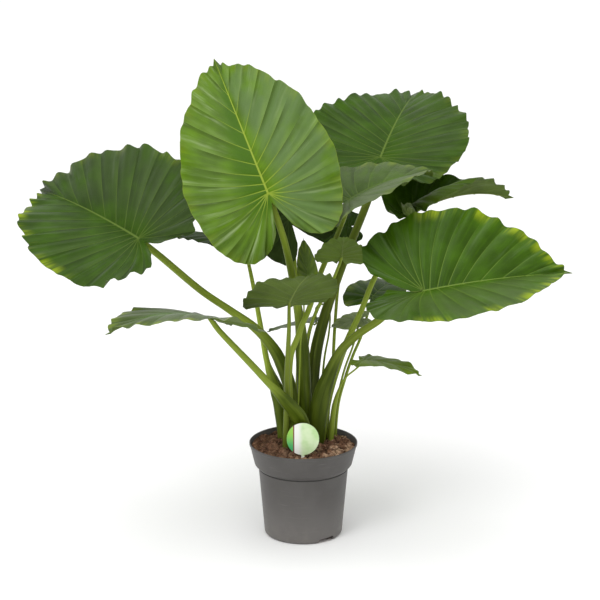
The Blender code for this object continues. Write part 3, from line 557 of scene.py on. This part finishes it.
def soil_look():
    """Coir: brown lumps of many shades, fibrous and rough, with pale patches on the right and painted shade
    in the gaps.
    """
    look = Look("coir", 0.95, 0.15)
    where = look.where()
    lumps = node(look.tree, "TexVoronoi", {"Vector": where, "Scale": 90.0}).outputs["Color"]
    chance = node(look.tree, "SeparateColor", {"Color": lumps}).outputs["Red"]
    brown = blend(chance, COIR["dark"], COIR["light"])
    fibres = streaks(where, (700, 260, 260), 1.0, 5, 0.7)
    look.paint(blend(fade(fibres, 0.40, 0.68), COIR["between"], brown))
    look.coat(fade(grain(where, 320, 4), 0.58, 0.74), COIR["crumb"])
    to_the_right = fade(split(where)["X"], -0.09, 0.06)
    look.coat(times(fade(grain(where, 42, 3), 0.46, 0.60), to_the_right, 0.9), COIR["pale"])
    # Painted shade in the gaps between the lumps and on the soil's side.
    look.coat(look.value("gap"), COIR["gap"])
    look.relief(fibres, 0.0015, 0.9)
    return look.made


def fibre_look():
    look = Look("coir_fibre", 0.8, 0.2)
    where = look.where()
    look.paint(blend(fade(grain(where, 120, 3), 0.35, 0.65), *FIBRE_BROWNS))
    look.relief(grain(where, 900, 3), 0.0003, 0.6)
    return look.made


def label_look():
    """The label's printed card: plain upright bands of green, wine red and white, and a white back."""
    look = Look("label_card", 0.34)
    where = look.where()
    parts = split(where)
    left = maths("SUBTRACT", parts["X"], LABEL_CENTRE[0])
    pale = blend(fade(grain(where, 45, 2), 0.35, 0.65), LABEL["low"], LABEL["mist"])
    look.paint(blend(fade(left, -0.010, 0.002), LABEL["white"], pale))
    green = blend(fade(parts["Z"], 0.190, 0.225), LABEL["green"], LABEL["lime"])
    look.coat(fade(left, -0.0181, -0.0184), green)
    look.coat(times(fade(left, -0.0186, -0.0184), fade(left, -0.0163, -0.0165)), LABEL["wine"])
    facing = node(look.tree, "NewGeometry", {}).outputs["Normal"]
    look.coat(fade(split(facing)["Y"], -0.2, 0.2), LABEL["back"])
    look.coat(fade(parts["Z"], LABEL_SOIL + 0.0002, LABEL_SOIL - 0.0002), LABEL["stake"])
    look.relief(grain(where, 700, 3), 0.0001, 0.3)
    return look.made


def floor_look():
    look = Look("pale_floor", 0.75, 0.2)
    look.paint(blend(grain(look.where(), 2, 2), (0.97, 0.97, 0.97), (0.99, 0.99, 0.99)))
    return look.made


# Meshes


def circle(radius, z, count):
    """Points round Z."""
    turns = [2 * pi * k / count for k in range(count)]
    return [(radius * cos(a), radius * sin(a), z) for a in turns]


def tube_faces(rings, sides):
    """The faces between rings of points, where each ring stands above the last and turns to the left."""
    faces = []
    for low in range(0, (rings - 1) * sides, sides):
        for k in range(sides):
            n = (k + 1) % sides
            faces.append([low + k, low + n, low + sides + n, low + sides + k])
    return faces


def mesh_of(name, shape):
    """The mesh of a closed bmesh, which is used up."""
    bmesh.ops.recalc_face_normals(shape, faces=shape.faces)
    data = bpy.data.meshes.new(name)
    shape.to_mesh(data)
    shape.free()
    return data


def mesh_from(name, points, faces, *looks):
    data = bpy.data.meshes.new(name)
    data.from_pydata(points, [], faces)
    for look in looks:
        data.materials.append(look)
    return data


def keep_values(data, name, numbers):
    """A number for each point, which the materials read."""
    data.attributes.new(name, "FLOAT", "POINT").data.foreach_set("value", numbers)


def smooth(data, sharp):
    data.shade_smooth()
    data.set_sharp_from_angle(angle=radians(sharp))


def placed(name, data, at=(0, 0, 0), turn=(0, 0, 0)):
    """An object in the scene, with its turn in radians."""
    made = bpy.data.objects.new(name, data)
    made.location = at
    made.rotation_euler = turn
    bpy.context.scene.collection.objects.link(made)
    return made


def finish_piece(name, data):
    """An object of the mesh that stands for the CAD node of the same name."""
    data.update()
    piece = placed(name + "_look", data)
    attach(piece, "root")
    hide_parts(name)
    return piece


# Leaf blades


def reach(angle, end):
    """How far the outline is from the junction, in midrib lengths, at an angle from the tip's direction."""
    rounding = np.maximum(0.0, (angle - LOBE_TURN) / (end - LOBE_TURN)) ** 2
    return (REACH_BACK + REACH_TIP * np.exp(-angle / REACH_TURN)) * (1 - LOBE_ROUND * rounding)


def foot_of(u):
    """Where the rays leave the midrib: u is 0 at the tip and 1 at the sinus."""
    share = np.exp(-(FIRST_ANGLE + (LOBE_END - FIRST_ANGLE) * u ** ANGLE_POWER) / FOOT_TURN)
    return LAST_FOOT * np.maximum(0.0, share - FOOT_LEAST) / (1 - FOOT_LEAST)


def bell(x):
    return np.exp(-x ** 2)


def ramp(value, over):
    """From 0 to 1, as the value goes from 0 to over."""
    return np.clip(value / over, 0, 1)


class Blade:
    """A heart shaped blade on part.py's formulas, with the finer relief on top. Its methods take arrays."""

    def __init__(self, letter, at, turn, length, width, droop, lobes, veins, fold=(5, 5), curl=(-20, -20),
                 back=1.0, ends=(LOBE_END, LOBE_END)):
        self.at, self.length = np.array(at) / 1000, length / 1000
        self.width, self.back, self.veins = width, back, veins
        self.droop, self.lobes = radians(droop), radians(lobes)
        self.fold, self.curl = np.radians(fold), np.radians(curl)
        self.ends = {1: ends[0], -1: ends[1]}
        self.uneven, self.cuts = SMOOTH_MARGINS.get(letter, 1.0), CUT_LOBES.get(letter, LOBE_CUTS)
        h, p, r = (radians(a) for a in turn)
        self.along = np.array([cos(p) * cos(h), cos(p) * sin(h), sin(p)])
        level = np.array([-sin(p) * cos(h), -sin(p) * sin(h), cos(p)])
        self.up = level * cos(r) + np.cross(level, self.along) * sin(r)
        self.left = np.cross(self.up, self.along)
        self.rib = max(RIB_LEAST, RIB_SHARE * self.length)
        self.seed = ord(letter) - ord("a") + 1
        chance = np.random.default_rng(self.seed)
        self.teeth = dict(zip((1, -1), chance.uniform(-1, 1, (2, 4 * veins + 1))))
        self.phases = dict(zip((1, -1), chance.uniform(0, 2 * pi, (2, 3))))

    def place(self, x, y, rise=0.0):
        """The points x along the midrib and y to its left on the flat blade, both in midrib lengths."""
        y = y * self.width
        x = np.where(x < 0, x * self.back, x)
        lobe_bend = LOBE_SHARE * self.lobes * np.minimum(1.0, -x / LOBE_LENGTH)
        bend = np.where(x < 0, lobe_bend, self.droop * x / 2)
        ahead = x * np.cos(bend)
        drop = np.where(x < 0, x, -x) * np.sin(bend)
        turn = np.where(x < 0, -bend, 2 * bend)
        fold = np.where(y > 0, self.fold[0], self.fold[1])
        curl = np.where(y > 0, self.curl[0], self.curl[1])
        slope = fold + curl * np.minimum(1.0, np.abs(y) / HALF_WIDTH) / 2
        lift = np.abs(y) * np.sin(slope) + rise
        upward = self.up * np.cos(turn)[..., None] + self.along * np.sin(turn)[..., None]
        flat = self.along * ahead[..., None] + self.up * drop[..., None]
        sideways = self.left * (y * np.cos(slope))[..., None]
        return self.at + self.length * (flat + sideways + upward * lift[..., None])

    def flat_point(self, u, t, side):
        """Where the ray u, t of the way to the margin, is on the flat blade."""
        end = self.ends[side]
        angle = FIRST_ANGLE + (end - FIRST_ANGLE) * u ** ANGLE_POWER
        foot = foot_of(u) - SINUS_BACK * np.clip(1 - (1 - u) * 2 * self.veins, 0, 1)
        scallop = self.uneven * (self.tooth(u, side) - VEIN_SHARE * np.cos(2 * pi * u * self.veins))
        swing = np.sin(2.1 * u * self.veins + self.phases[side][0])
        loose = LOOSE_WAVE * swing * np.minimum(1.0, 3 * u)
        cuts = self.cuts * np.cos(4 * pi * u * self.veins) * ramp(u - CUTS_START[0], CUTS_START[1])
        far = reach(angle, end) * (1 + scallop + loose + cuts)
        turn = np.radians(angle)
        (first, rise), (last, fall) = BOW_ENDS
        bow = BOW * np.sin(pi * t) * ramp(angle - first, rise) * ramp(last - angle, fall)
        x = foot + (far * np.cos(turn) - foot) * t - bow * np.sin(turn)
        y = far * np.sin(turn) * t + bow * np.cos(turn)
        return x, y * side

    def tooth(self, u, side):
        """How far the margin stands out there, by chance, and most where a vein ends."""
        teeth = self.teeth[side]
        s = u * self.veins
        away = np.abs(s - np.round(s))
        near = np.exp(-away / TOOTH_WIDTH)
        point = np.interp(np.round(s), np.arange(self.veins + 1), np.abs(teeth[::4])) * near
        rough = np.interp(s * 4, np.arange(len(teeth)), teeth)
        return TEETH * (0.8 * point + 0.7 * rough) * np.clip(0.15 + s / 5, 0, 1)

    def points(self, u, t, side):
        """Points of the upper face."""
        x, y = self.flat_point(u, t, side)
        s = u * self.veins
        phases = self.phases[side]
        swell = np.sin(2 * pi * (SWELLS * (u + self.seed) + (0.3 if side > 0 else 0)))
        rise = WAVE * t ** 2 * (0.9 * swell - 0.5 * self.uneven * np.cos(2 * pi * s))
        ruffle = sum(share * np.sin(rate * s + phase) for (rate, share), phase in zip(RUFFLES, phases))
        ruffle = ruffle * (1 + LOBE_RUFFLE * ramp(u - LOBE_START[0], LOBE_START[1]))
        quilt = (np.abs(np.sin(pi * s)) ** 0.8 - 0.5) * ramp(t, QUILT_START)
        quilt = quilt * (1 + 0.6 * np.sin(1.9 * s + 6 * t + phases[2]))
        quilt = quilt * np.where(foot_of(u) > 0, 1, 0.7 * t)
        rise = rise + RUFFLE * t ** 3 * ruffle + QUILT / QUILT_LENGTH * quilt
        return self.place(x, y, rise)


def half_blade(blade, side, size):
    """A grid over half a blade: its points, and what the materials need to know at each of them."""
    step = np.arange(size["steps"]) / size["steps"]
    step = step - 0.6 * np.sin(2 * pi * step) / (2 * pi)
    s = np.append((np.arange(blade.veins)[:, None] + step).ravel(), blade.veins)
    t = (np.arange(size["columns"] + 1) / size["columns"]) ** 1.1
    u, t = np.meshgrid(s / blade.veins, t, indexing="ij")
    x, y = blade.flat_point(u, t, side)
    points = blade.points(u, t, side)
    nearest = np.round(u * blade.veins)
    away = np.linalg.norm(points - blade.points(nearest / blade.veins, t, side), axis=-1)
    half = VEIN_HALF[0] + (VEIN_HALF[1] - VEIN_HALF[0]) * t
    vein = away / half + FAR_OFF * ((nearest == 0) | (nearest == blade.veins))
    rib_half = np.interp(x, [0, 1], RIB_HALF) * blade.length / QUILT_LENGTH
    rib = np.abs(y) * blade.length / rib_half + 6 * (x < -0.02)
    inside = np.linalg.norm(points[:, -1:] - points, axis=-1) * 1000
    flat, rays = np.stack([x, y], -1) * blade.length, np.stack([u * blade.veins, t], -1)
    return dict(points=points, flat=flat, rays=rays, vein=vein, rib=rib, inside=inside, outwards=t)


def blade_faces(grid, side):
    """Faces of a half blade as corners' (row, column), where the rays' feet share points of the midrib."""
    rows, columns = grid.shape
    faces, corners = [], []
    for r in range(rows - 1):
        for c in range(columns - 1):
            four = [(r, c), (r, c + 1), (r + 1, c + 1), (r + 1, c)]
            numbers = [grid[p] for p in four]
            kept = [k for k in range(4) if numbers[k] != numbers[k - 1]]
            if len(kept) > 2:
                faces.append([numbers[k] for k in kept][::side])
                corners.append([four[k] for k in kept][::side])
    return faces, corners


def leaf_object(letter, blade):
    """One blade: the upper face, a lower face with its ribs, and the thin margin between them."""
    size = LARGE if blade.length > LARGE_LENGTH else SMALL
    points = [blade.place(np.array([TIP_REACH]), np.zeros(1))[0]]
    values = {"vein": [FAR_OFF], "inside": [0.0], "outwards": [FAR_OFF], "rib": [0.5]}
    faces, uvs, numbers = [], {"flat": [], "rays": []}, {}
    for side in (1, -1):
        half = half_blade(blade, side, size)
        grid = np.zeros(half["vein"].shape, int)
        for r, c in np.ndindex(grid.shape):
            key = (side, r, c) if c else round(float(half["flat"][r, 0, 0]), 6)
            grid[r, c] = numbers.setdefault(key, len(points))
            if grid[r, c] == len(points):
                points.append(half["points"][r, c])
                for name in values:
                    values[name].append(half[name][r, c])
        some, corners = blade_faces(grid, side)
        some += [[0, *pair][::side] for pair in zip(grid[0, 1:], grid[0, :-1])]
        corners += [[(0, c), (0, c + 1), (0, c)][::side] for c in range(size["columns"])]
        faces += some
        for name in uvs:
            uvs[name] += [half[name][corner] for face in corners for corner in face]
    return shell_object(letter, blade, np.array(points), faces, values, uvs)


def shell_object(letter, blade, points, faces, values, uvs):
    """Gives the surface its underside, at the depth of the blade, the veins and the midrib at each point."""
    surface = mesh_from("surface", points.tolist(), faces)
    normals = np.zeros(len(points) * 3)
    surface.vertex_normals.foreach_get("vector", normals)
    normals = normals.reshape(-1, 3)
    bpy.data.meshes.remove(surface)
    vein, rib, outwards = (np.array(values[name]) for name in ("vein", "rib", "outwards"))
    along = (points - blade.at) @ blade.along / blade.length
    inner = np.clip(1 - outwards, 0, 1)
    depth = MARGIN_THICK + (BLADE_THICK - MARGIN_THICK) * inner
    small = min(1.0, blade.length / LARGE_LENGTH)
    depth += VEIN_DEPTH * bell(vein / 1.3) * np.clip(1 - 0.8 * outwards, 0, 1) * small
    depth += blade.rib * np.clip(1 - 0.75 * along, 0.2, 1) * bell(rib / 1.1) * 0.8
    top = points - normals * (GROOVE * bell(vein / 1.4) * inner)[:, None]
    under = points - normals * depth[:, None]
    count = len(points)
    edges = {(a, b) for face in faces for a, b in zip(face, face[1:] + face[:1])}
    rim = sorted((a, b) for a, b in edges if (b, a) not in edges)
    every = faces + [[v + count for v in face[::-1]] for face in faces]
    every += [[b, a, a + count, b + count] for a, b in rim]
    looks = (leaf_upper(letter, TONES[letter]), leaf_under(letter, TONES[letter]))
    data = mesh_from("leaf_" + letter, np.vstack([top, under]).tolist(), every, *looks)
    for name, numbers in values.items():
        keep_values(data, name, np.tile(np.array(numbers, float), 2))
    ends = np.cumsum([len(face) for face in faces])
    for name, pairs in uvs.items():
        upper = np.array(pairs, float)
        lower = [face[::-1] for face in np.split(upper, ends[:-1])]
        edge = np.repeat(upper[:1], 4 * len(rim), axis=0)
        data.uv_layers.new(name=name).data.foreach_set("uv", np.vstack([upper, *lower, edge]).ravel())
    data.polygons.foreach_set("material_index", np.repeat([0, 1, 0], [len(faces), len(faces), len(rim)]))
    smooth(data, 75)
    return finish_piece("leaf_" + letter, data)


# Petioles


def unit(vector):
    return vector / np.linalg.norm(vector)


def smooth_route(points, steps=12):
    """Points of a smooth curve through the given ones, and how far along the curve each is."""
    p = np.array(points)
    p = np.vstack([2 * p[0] - p[1], p, 2 * p[-1] - p[-2]])
    curve = []
    for a, b, c, d in zip(p, p[1:], p[2:], p[3:]):
        for s in np.arange(steps) / steps:
            square, cube = 2 * a - 5 * b + 4 * c - d, 3 * b - 3 * c + d - a
            curve.append((2 * b + (c - a) * s + square * s ** 2 + cube * s ** 3) / 2)
    curve.append(p[-2])
    curve = np.array(curve)
    run = np.concatenate([[0], np.cumsum(np.linalg.norm(np.diff(curve, axis=0), axis=1))])
    return curve, run


def arrival(blade, last):
    """Where a stalk meets its blade's midrib, and its direction there, MEET_ANGLE or more off the blade."""
    end = blade.at - blade.up * blade.rib
    arrive = unit(end - last)
    least = radians(MEET_ANGLE)
    if arrive @ blade.up < sin(least):
        level = unit(arrive - blade.up * (arrive @ blade.up))
        arrive = level * cos(least) + blade.up * sin(least)
    return end, arrive


def stalk_rings(letter, curve, run, stop):
    """Rings of points along a stalk, with the open sheath of the large ones, and the materials' values."""
    heights, half_x, half_y = np.array(GIRTHS[letter]).T / 1000
    stations = np.linspace(0, stop, max(12, round(stop / TUBE_STEP)) + 1)
    centres, ahead, behind = (
        np.stack([np.interp(stations + shift, run, curve[:, axis]) for axis in range(3)], axis=1)
        for shift in (0.0, LOOK_AHEAD, -LOOK_AHEAD)
    )
    turns = 2 * pi * np.arange(TUBE_SIDES) / TUBE_SIDES
    across = np.array([1.0, 0.0, 0.0])
    points, values = [], {"lip": [], "shade_near_soil": [], "slim": []}
    for centre, front, rear in zip(centres, ahead, behind):
        forward = unit(front - rear)
        across = unit(across - forward * (across @ forward))
        deep = np.cross(forward, across)
        wide = (np.interp(centre[2], heights, half_x), np.interp(centre[2], heights, half_y))
        inner = np.array([PLANT_AXIS[0] - centre[0], PLANT_AXIS[1] - centre[1], 0.05])
        opening = atan2(inner @ deep, inner @ across)
        open_share = ramp(SHEATH_END.get(letter, 0.0) - centre[2], SHEATH_FADE)
        off = np.angle(np.exp(1j * (turns - opening)))
        lip = bell((np.abs(off) - LIP_PLACE[0]) / LIP_PLACE[1]) * open_share
        radius = 1 - SHEATH_DEPTH * bell(off / SHEATH_GROOVE) * open_share + SHEATH_LIP * lip
        ring = centre + across * (wide[0] * radius * np.cos(turns))[:, None]
        points.append(ring + deep * (wide[1] * radius * np.sin(turns))[:, None])
        values["lip"].append(lip)
        values["shade_near_soil"].append(np.full(TUBE_SIDES, ramp(SHADE_NEAR_SOIL_TOP[0] - centre[2], SHADE_NEAR_SOIL_TOP[1])))
        values["slim"].append(np.full(TUBE_SIDES, ramp(SLIM[0] - wide[0], SLIM[0] - SLIM[1])))
    return points, values


def petiole_piece(letter, blade):
    """A stalk swept from the soil into its blade's midrib."""
    route = np.array(ROUTES[letter]) / 1000
    end, arrive = arrival(blade, route[-1])
    curve, run = smooth_route([*route, end - arrive * KNUCKLE, end])
    points, values = stalk_rings(letter, curve, run, run[-1] - STOP_SHORT * GIRTHS[letter][-1][1] / 1000)
    last = points[-1]
    points.append(last + arrive * ((((end - last) @ blade.up) / (arrive @ blade.up))[:, None]))
    for name, at_the_blade in (("lip", 0), ("shade_near_soil", 0), ("slim", 1)):
        values[name].append(values[name][-1] * at_the_blade)
    rings = len(points)
    faces = tube_faces(rings, TUBE_SIDES)
    faces += [list(range(TUBE_SIDES))[::-1], list(range((rings - 1) * TUBE_SIDES, rings * TUBE_SIDES))]
    pairs = []
    for ring in range(rings - 1):
        low, high = ring * TUBE_STEP, (ring + 1) * TUBE_STEP
        for k in range(TUBE_SIDES):
            left, right = k / TUBE_SIDES, (k + 1) / TUBE_SIDES
            pairs += [(left, low), (right, low), (right, high), (left, high)]
    pairs += [(0.0, 0.0)] * 2 * TUBE_SIDES
    look = petiole_look(letter, BRIGHT_STALKS.get(letter, 1.0))
    data = mesh_from("petiole_" + letter, np.vstack(points).tolist(), faces, look)
    data.uv_layers.new(name="along").data.foreach_set("uv", np.array(pairs).ravel())
    for name, rows in values.items():
        keep_values(data, name, np.concatenate(rows))
    smooth(data, 70)
    return finish_piece("petiole_" + letter, data)


# Pot, soil and label


def arc(centre, radius, start, end, steps):
    """(radius, height) of points on an arc, with its angles in degrees."""
    turns = np.radians(np.linspace(start, end, steps + 1))
    return [(centre[0] + radius * cos(a), centre[1] + radius * sin(a)) for a in turns]


def beside(corner, *steps):
    """Points so many millimetres out from a corner and up."""
    return [(corner[0] + out / 1000, corner[1] + up / 1000) for out, up in steps]


def pot_profile():
    """Down the outside from the rim, in along the underside, and up the inside."""
    rim, band, body, foot = (POT_RIM_RADIUS, POT_HEIGHT), POT_BAND_END, POT_BODY_TOP, POT_FOOT_RADIUS
    outside = arc((rim[0] - POT_LIP, rim[1] - POT_LIP), POT_LIP, 90, 0, 5)
    outside += beside(rim, (-0.2, -4.2), (-1.2, -5))
    outside += beside(band, (0.6, 4.5), (-0.2, 1.5), (-1.2, 0))
    outside += beside(body, (0.6, 1), (-1.4, 0.6))
    outside += [(body[0] - 0.0014, body[1] + 0.0010 - SEAM), (body[0] - 0.0002, body[1] - SEAM)]
    outside += arc((foot - POT_FOOT_ROUND, POT_FOOT_ROUND), POT_FOOT_ROUND, 0, -90, 8)
    inside = [(0.0, 0.0), (0.0, POT_FLOOR), (foot - POT_WALL - 0.006, POT_FLOOR)]
    inside += [(foot - POT_WALL, POT_FOOT_ROUND + POT_FLOOR), (body[0] - POT_WALL, body[1])]
    inside += [(band[0] - POT_WALL, band[1]), *beside((rim[0] - POT_WALL, rim[1]), (-0.6, -1.2), (0, 0))]
    return outside + inside


def turned(name, profile, sides):
    """A closed solid of revolution round Z."""
    shape = bmesh.new()
    rings = []
    for r, z in profile:
        if r == 0:
            rings.append([shape.verts.new((0, 0, z))] * sides)
        else:
            rings.append([shape.verts.new(point) for point in circle(r, z, sides)])
    for upper, lower in zip(rings, rings[1:] + rings[:1]):
        for k in range(sides):
            n = (k + 1) % sides
            corners = list(dict.fromkeys((upper[k], lower[k], lower[n], upper[n])))
            if len(corners) > 2:
                shape.faces.new(corners)
    return mesh_of(name, shape)


def notch_cutter(turn):
    """An arched bar that cuts one drain notch, wider at the foot than at its top."""
    half, top = NOTCH_WIDTH / 2, NOTCH_HEIGHT
    outline = [(-half, -0.004), (half, -0.004), (half, 0.0), (half - 0.001, top * 0.8), (half - 0.004, top)]
    outline += [(-half + 0.012, top * 0.9), (-half + 0.004, top * 0.6), (-half, 0.0)]
    shape = bmesh.new()
    out, across = Vector((cos(turn), sin(turn), 0)), Vector((-sin(turn), cos(turn), 0))
    inner, outer = (
        [shape.verts.new(out * distance + across * a + Vector((0, 0, z))) for a, z in outline]
        for distance in (POT_FOOT_RADIUS + NOTCH_BAR[0], POT_FOOT_RADIUS + NOTCH_BAR[1])
    )
    shape.faces.new(inner)
    shape.faces.new(outer[::-1])
    for k in range(len(outline)):
        n = (k + 1) % len(outline)
        shape.faces.new((inner[k], outer[k], outer[n], inner[n]))
    return bpy.data.objects.new("notch", mesh_of("notch", shape))


def pot_piece():
    data = turned("pot", pot_profile(), POT_SIDES)
    data.materials.append(pot_look())
    pot = finish_piece("pot", data)
    cutters = bpy.data.collections.new("notches")
    bpy.context.scene.collection.children.link(cutters)
    for degrees in NOTCH_TURNS:
        cutters.objects.link(notch_cutter(radians(degrees)))
    tool = pot.modifiers.new("notches", "BOOLEAN")
    tool.operation = "DIFFERENCE"
    tool.operand_type = "COLLECTION"
    tool.collection = cutters
    bpy.context.view_layer.update()
    cut = bpy.data.meshes.new_from_object(pot.evaluated_get(bpy.context.evaluated_depsgraph_get()))
    pot.modifiers.clear()
    pot.data = cut
    smooth(cut, 32)
    for cutter in list(cutters.objects):
        bpy.data.objects.remove(cutter)
    bpy.data.collections.remove(cutters)
    return pot


def soil_height(x, y):
    """The top of the soil as part.py has it: lower along the wall, at the back right and round the label."""
    lump = sin(83 * x + 40 * y + 0.7) * cos(71 * y - 25 * x)
    lump += 0.6 * sin(150 * x + 1) * sin(131 * y)
    edge = SOIL_EDGE[1] * max(0.0, hypot(x, y) / POT_RIM_RADIUS - SOIL_EDGE[0])
    back = SOIL_BACK[1] * max(0.0, 0.6 * x + 0.8 * y - SOIL_BACK[0])
    away = hypot(x - LABEL_CENTRE[0], y - LABEL_CENTRE[1]) / SOIL_DIP[0]
    return SOIL_LEVEL + SOIL_LUMP * lump - edge - back - SOIL_DIP[1] * exp(-away ** 2)


def coir(x, y):
    """The height of the coir's lumps over part.py's soil, and how deep in a gap the place is, up to 0.85,
    for its painted shade.
    """
    near, after = noise.voronoi(Vector((x / COIR_LUMP, y / COIR_LUMP, 0.3)))[0][:2]
    small = noise.voronoi(Vector((x / COIR_CRUMB, y / COIR_CRUMB, 7.1)))[0][0]
    between = after - near
    rough = noise.fractal(Vector((x * 260, y * 260, 2.0)), 0.8, 2.1, 4)
    rise = COIR_RISE * (min(between, 0.55) / 0.55 - 0.55) + 0.0016 * (0.5 - small) + 0.0011 * rough
    return rise, max(0.0, 1 - between / 0.16) * 0.85


def on_the_soil(x, y):
    return soil_height(x, y) + coir(x, y)[0]


def soil_surface():
    """Points and faces of the soil's lumpy top and of its side in the pot, with each point's gap value."""
    (band_r, band_z), (body_r, body_z), foot_r = POT_BAND_END, POT_BODY_TOP, POT_FOOT_RADIUS
    slope = (POT_RIM_RADIUS - band_r) / (POT_HEIGHT - band_z)
    wall = band_r + slope * (SOIL_LEVEL - SOIL_AT_WALL[0] - band_z) - POT_WALL - SOIL_AT_WALL[1]
    points, gaps = [], []
    for ring in range(1, SOIL_RINGS + 1):
        share = ring / SOIL_RINGS
        for x, y, _ in circle(wall * share, 0, SOIL_SPOKES):
            rise, gap = coir(x, y)
            points.append((x, y, soil_height(x, y) + rise * min(1.0, (SOIL_RIM[0] - share) / SOIL_RIM[1])))
            gaps.append(gap)
    inside = POT_WALL + SOIL_GAP
    side = [(band_r - inside, band_z), (body_r - inside, body_z),
            (foot_r - inside, POT_FLOOR + POT_FOOT_ROUND), (foot_r - 0.01, POT_FLOOR + SOIL_GAP)]
    for r, z in side:
        points += circle(r, z, SOIL_SPOKES)
    gaps += [SOIL_SIDE_GAP] * (len(side) * SOIL_SPOKES)
    upright = tube_faces(SOIL_RINGS + len(side), SOIL_SPOKES)
    faces = [[a, d, c, b] for a, b, c, d in upright]  # turned over, as these rings go outwards and down
    faces.append(list(range(SOIL_SPOKES)))
    faces.append(list(range(len(points) - SOIL_SPOKES, len(points)))[::-1])
    return points, faces, gaps


def chip(chance, x, y):
    """A flat ragged crumb of coir that lies on the soil."""
    size = chance.uniform(*CHIP_SIZE)
    centre = Vector((x, y, on_the_soil(x, y) + size * 0.25))
    turn = chance.uniform(0, 2 * pi)
    out = Vector((cos(turn), sin(turn), chance.uniform(-0.5, 0.5)))
    side = Vector((-sin(turn), cos(turn), chance.uniform(-0.5, 0.5)))
    points = [centre + Vector((0, 0, size * 0.4)), centre - Vector((0, 0, size * 0.4))]
    for k in range(6):
        a = pi / 3 * k
        far = chance.uniform(0.6, 1.1) * size
        points.append(centre + out * (1.5 * far * cos(a)) + side * (0.7 * far * sin(a)))
    faces = [[0, 2 + k, 2 + (k + 1) % 6] for k in range(6)] + [[1, 2 + (k + 1) % 6, 2 + k] for k in range(6)]
    return points, faces


def fibre(chance, x, y):
    """A short bent thread of coir, three-sided, that lies on the soil."""
    length, half = chance.uniform(*FIBRE_LENGTH), chance.uniform(*FIBRE_HALF)
    turn, bend = chance.uniform(0, 2 * pi), chance.uniform(-FIBRE_BEND, FIBRE_BEND)
    rise = chance.uniform(0.0, FIBRE_RISE[1])
    points = []
    where = Vector((x, y, 0))
    for k in range(FIBRE_STEPS + 1):
        a = turn + bend * k / FIBRE_STEPS
        where = where + Vector((cos(a), sin(a), 0)) * length / FIBRE_STEPS
        inside = min(1.0, FIBRE_REACH / max(where.xy.length, 0.001))
        where = Vector((where.x * inside, where.y * inside, 0))
        z = on_the_soil(where.x, where.y) + FIBRE_RISE[0] + rise * sin(pi * k / FIBRE_STEPS)
        for b in (2 * pi * corner / 3 for corner in range(3)):
            x, y = where.x - half * sin(a) * cos(b), where.y + half * cos(a) * cos(b)
            points.append(Vector((x, y, z + half * sin(b))))
    end = 3 * FIBRE_STEPS
    return points, [[0, 2, 1], [end, end + 1, end + 2], *tube_faces(FIBRE_STEPS + 1, 3)]


def soil_piece():
    points, faces, gaps = soil_surface()
    looks = [0] * len(faces)
    chance = np.random.default_rng(SEED)
    for make, count, look in ((chip, CHIPS, 0), (fibre, FIBRES, 1)):
        for _ in range(count):
            r, a = STREWN * sqrt(chance.uniform()), chance.uniform(0, 2 * pi)
            some, corners = make(chance, r * cos(a), r * sin(a))
            faces += [[v + len(points) for v in face] for face in corners]
            points += [tuple(p) for p in some]
            gaps += [0.0] * len(some)
            looks += [look] * len(corners)
    data = mesh_from("soil", points, faces, soil_look(), fibre_look())
    keep_values(data, "gap", gaps)
    data.polygons.foreach_set("material_index", looks)
    data.shade_smooth()
    return finish_piece("soil", data)


def dress_label():
    """The label's solid is right as it is, and takes its printed card look."""
    label = frame["nodes"]["plant_label"]
    look = label_look()
    for place in label.material_slots:
        place.material = look


# Studio


def camera():
    data = bpy.data.cameras.new("camera")
    data.lens = CAMERA_LENS
    data.sensor_width = 36.0
    bpy.context.scene.camera = placed("camera", data, CAMERA_AT, (radians(90 - CAMERA_DOWN), 0, 0))


def softbox(name, at, aim, size, power):
    data = bpy.data.lights.new(name, "AREA")
    data.shape = "RECTANGLE"
    data.size = data.size_y = size
    data.energy = power
    placed(name, data, at, (Vector(aim) - Vector(at)).to_track_quat("-Z", "Y").to_euler())


def studio():
    """White surroundings, a pale floor, large soft lights at the front left and above, and a soft sun."""
    world = bpy.data.worlds.new("studio")
    world.use_nodes = True
    white = world.node_tree.nodes["Background"].inputs
    white["Color"].default_value = (1.0, 1.0, 1.0, 1.0)
    white["Strength"].default_value = WORLD_STRENGTH
    bpy.context.scene.world = world
    bpy.context.scene.view_settings.view_transform = "Standard"
    for name, values in SOFTBOXES.items():
        softbox(name, *values)
    data = bpy.data.lights.new("sky", "SUN")
    data.energy = SUN["power"]
    data.angle = radians(SUN["angle"])
    placed("sky", data, turn=[radians(a) for a in SUN["turn"]])
    data = turned("floor", [(0, 0.0), (40.0, 0.0), (40.0, -0.02), (0, -0.02)], 96)
    data.materials.append(floor_look())
    placed("floor", data)


camera()
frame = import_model()
pot_piece()
soil_piece()
dress_label()
for letter, leaf in LEAVES.items():
    blade = Blade(letter, **leaf)
    leaf_object(letter, blade)
    petiole_piece(letter, blade)
studio()
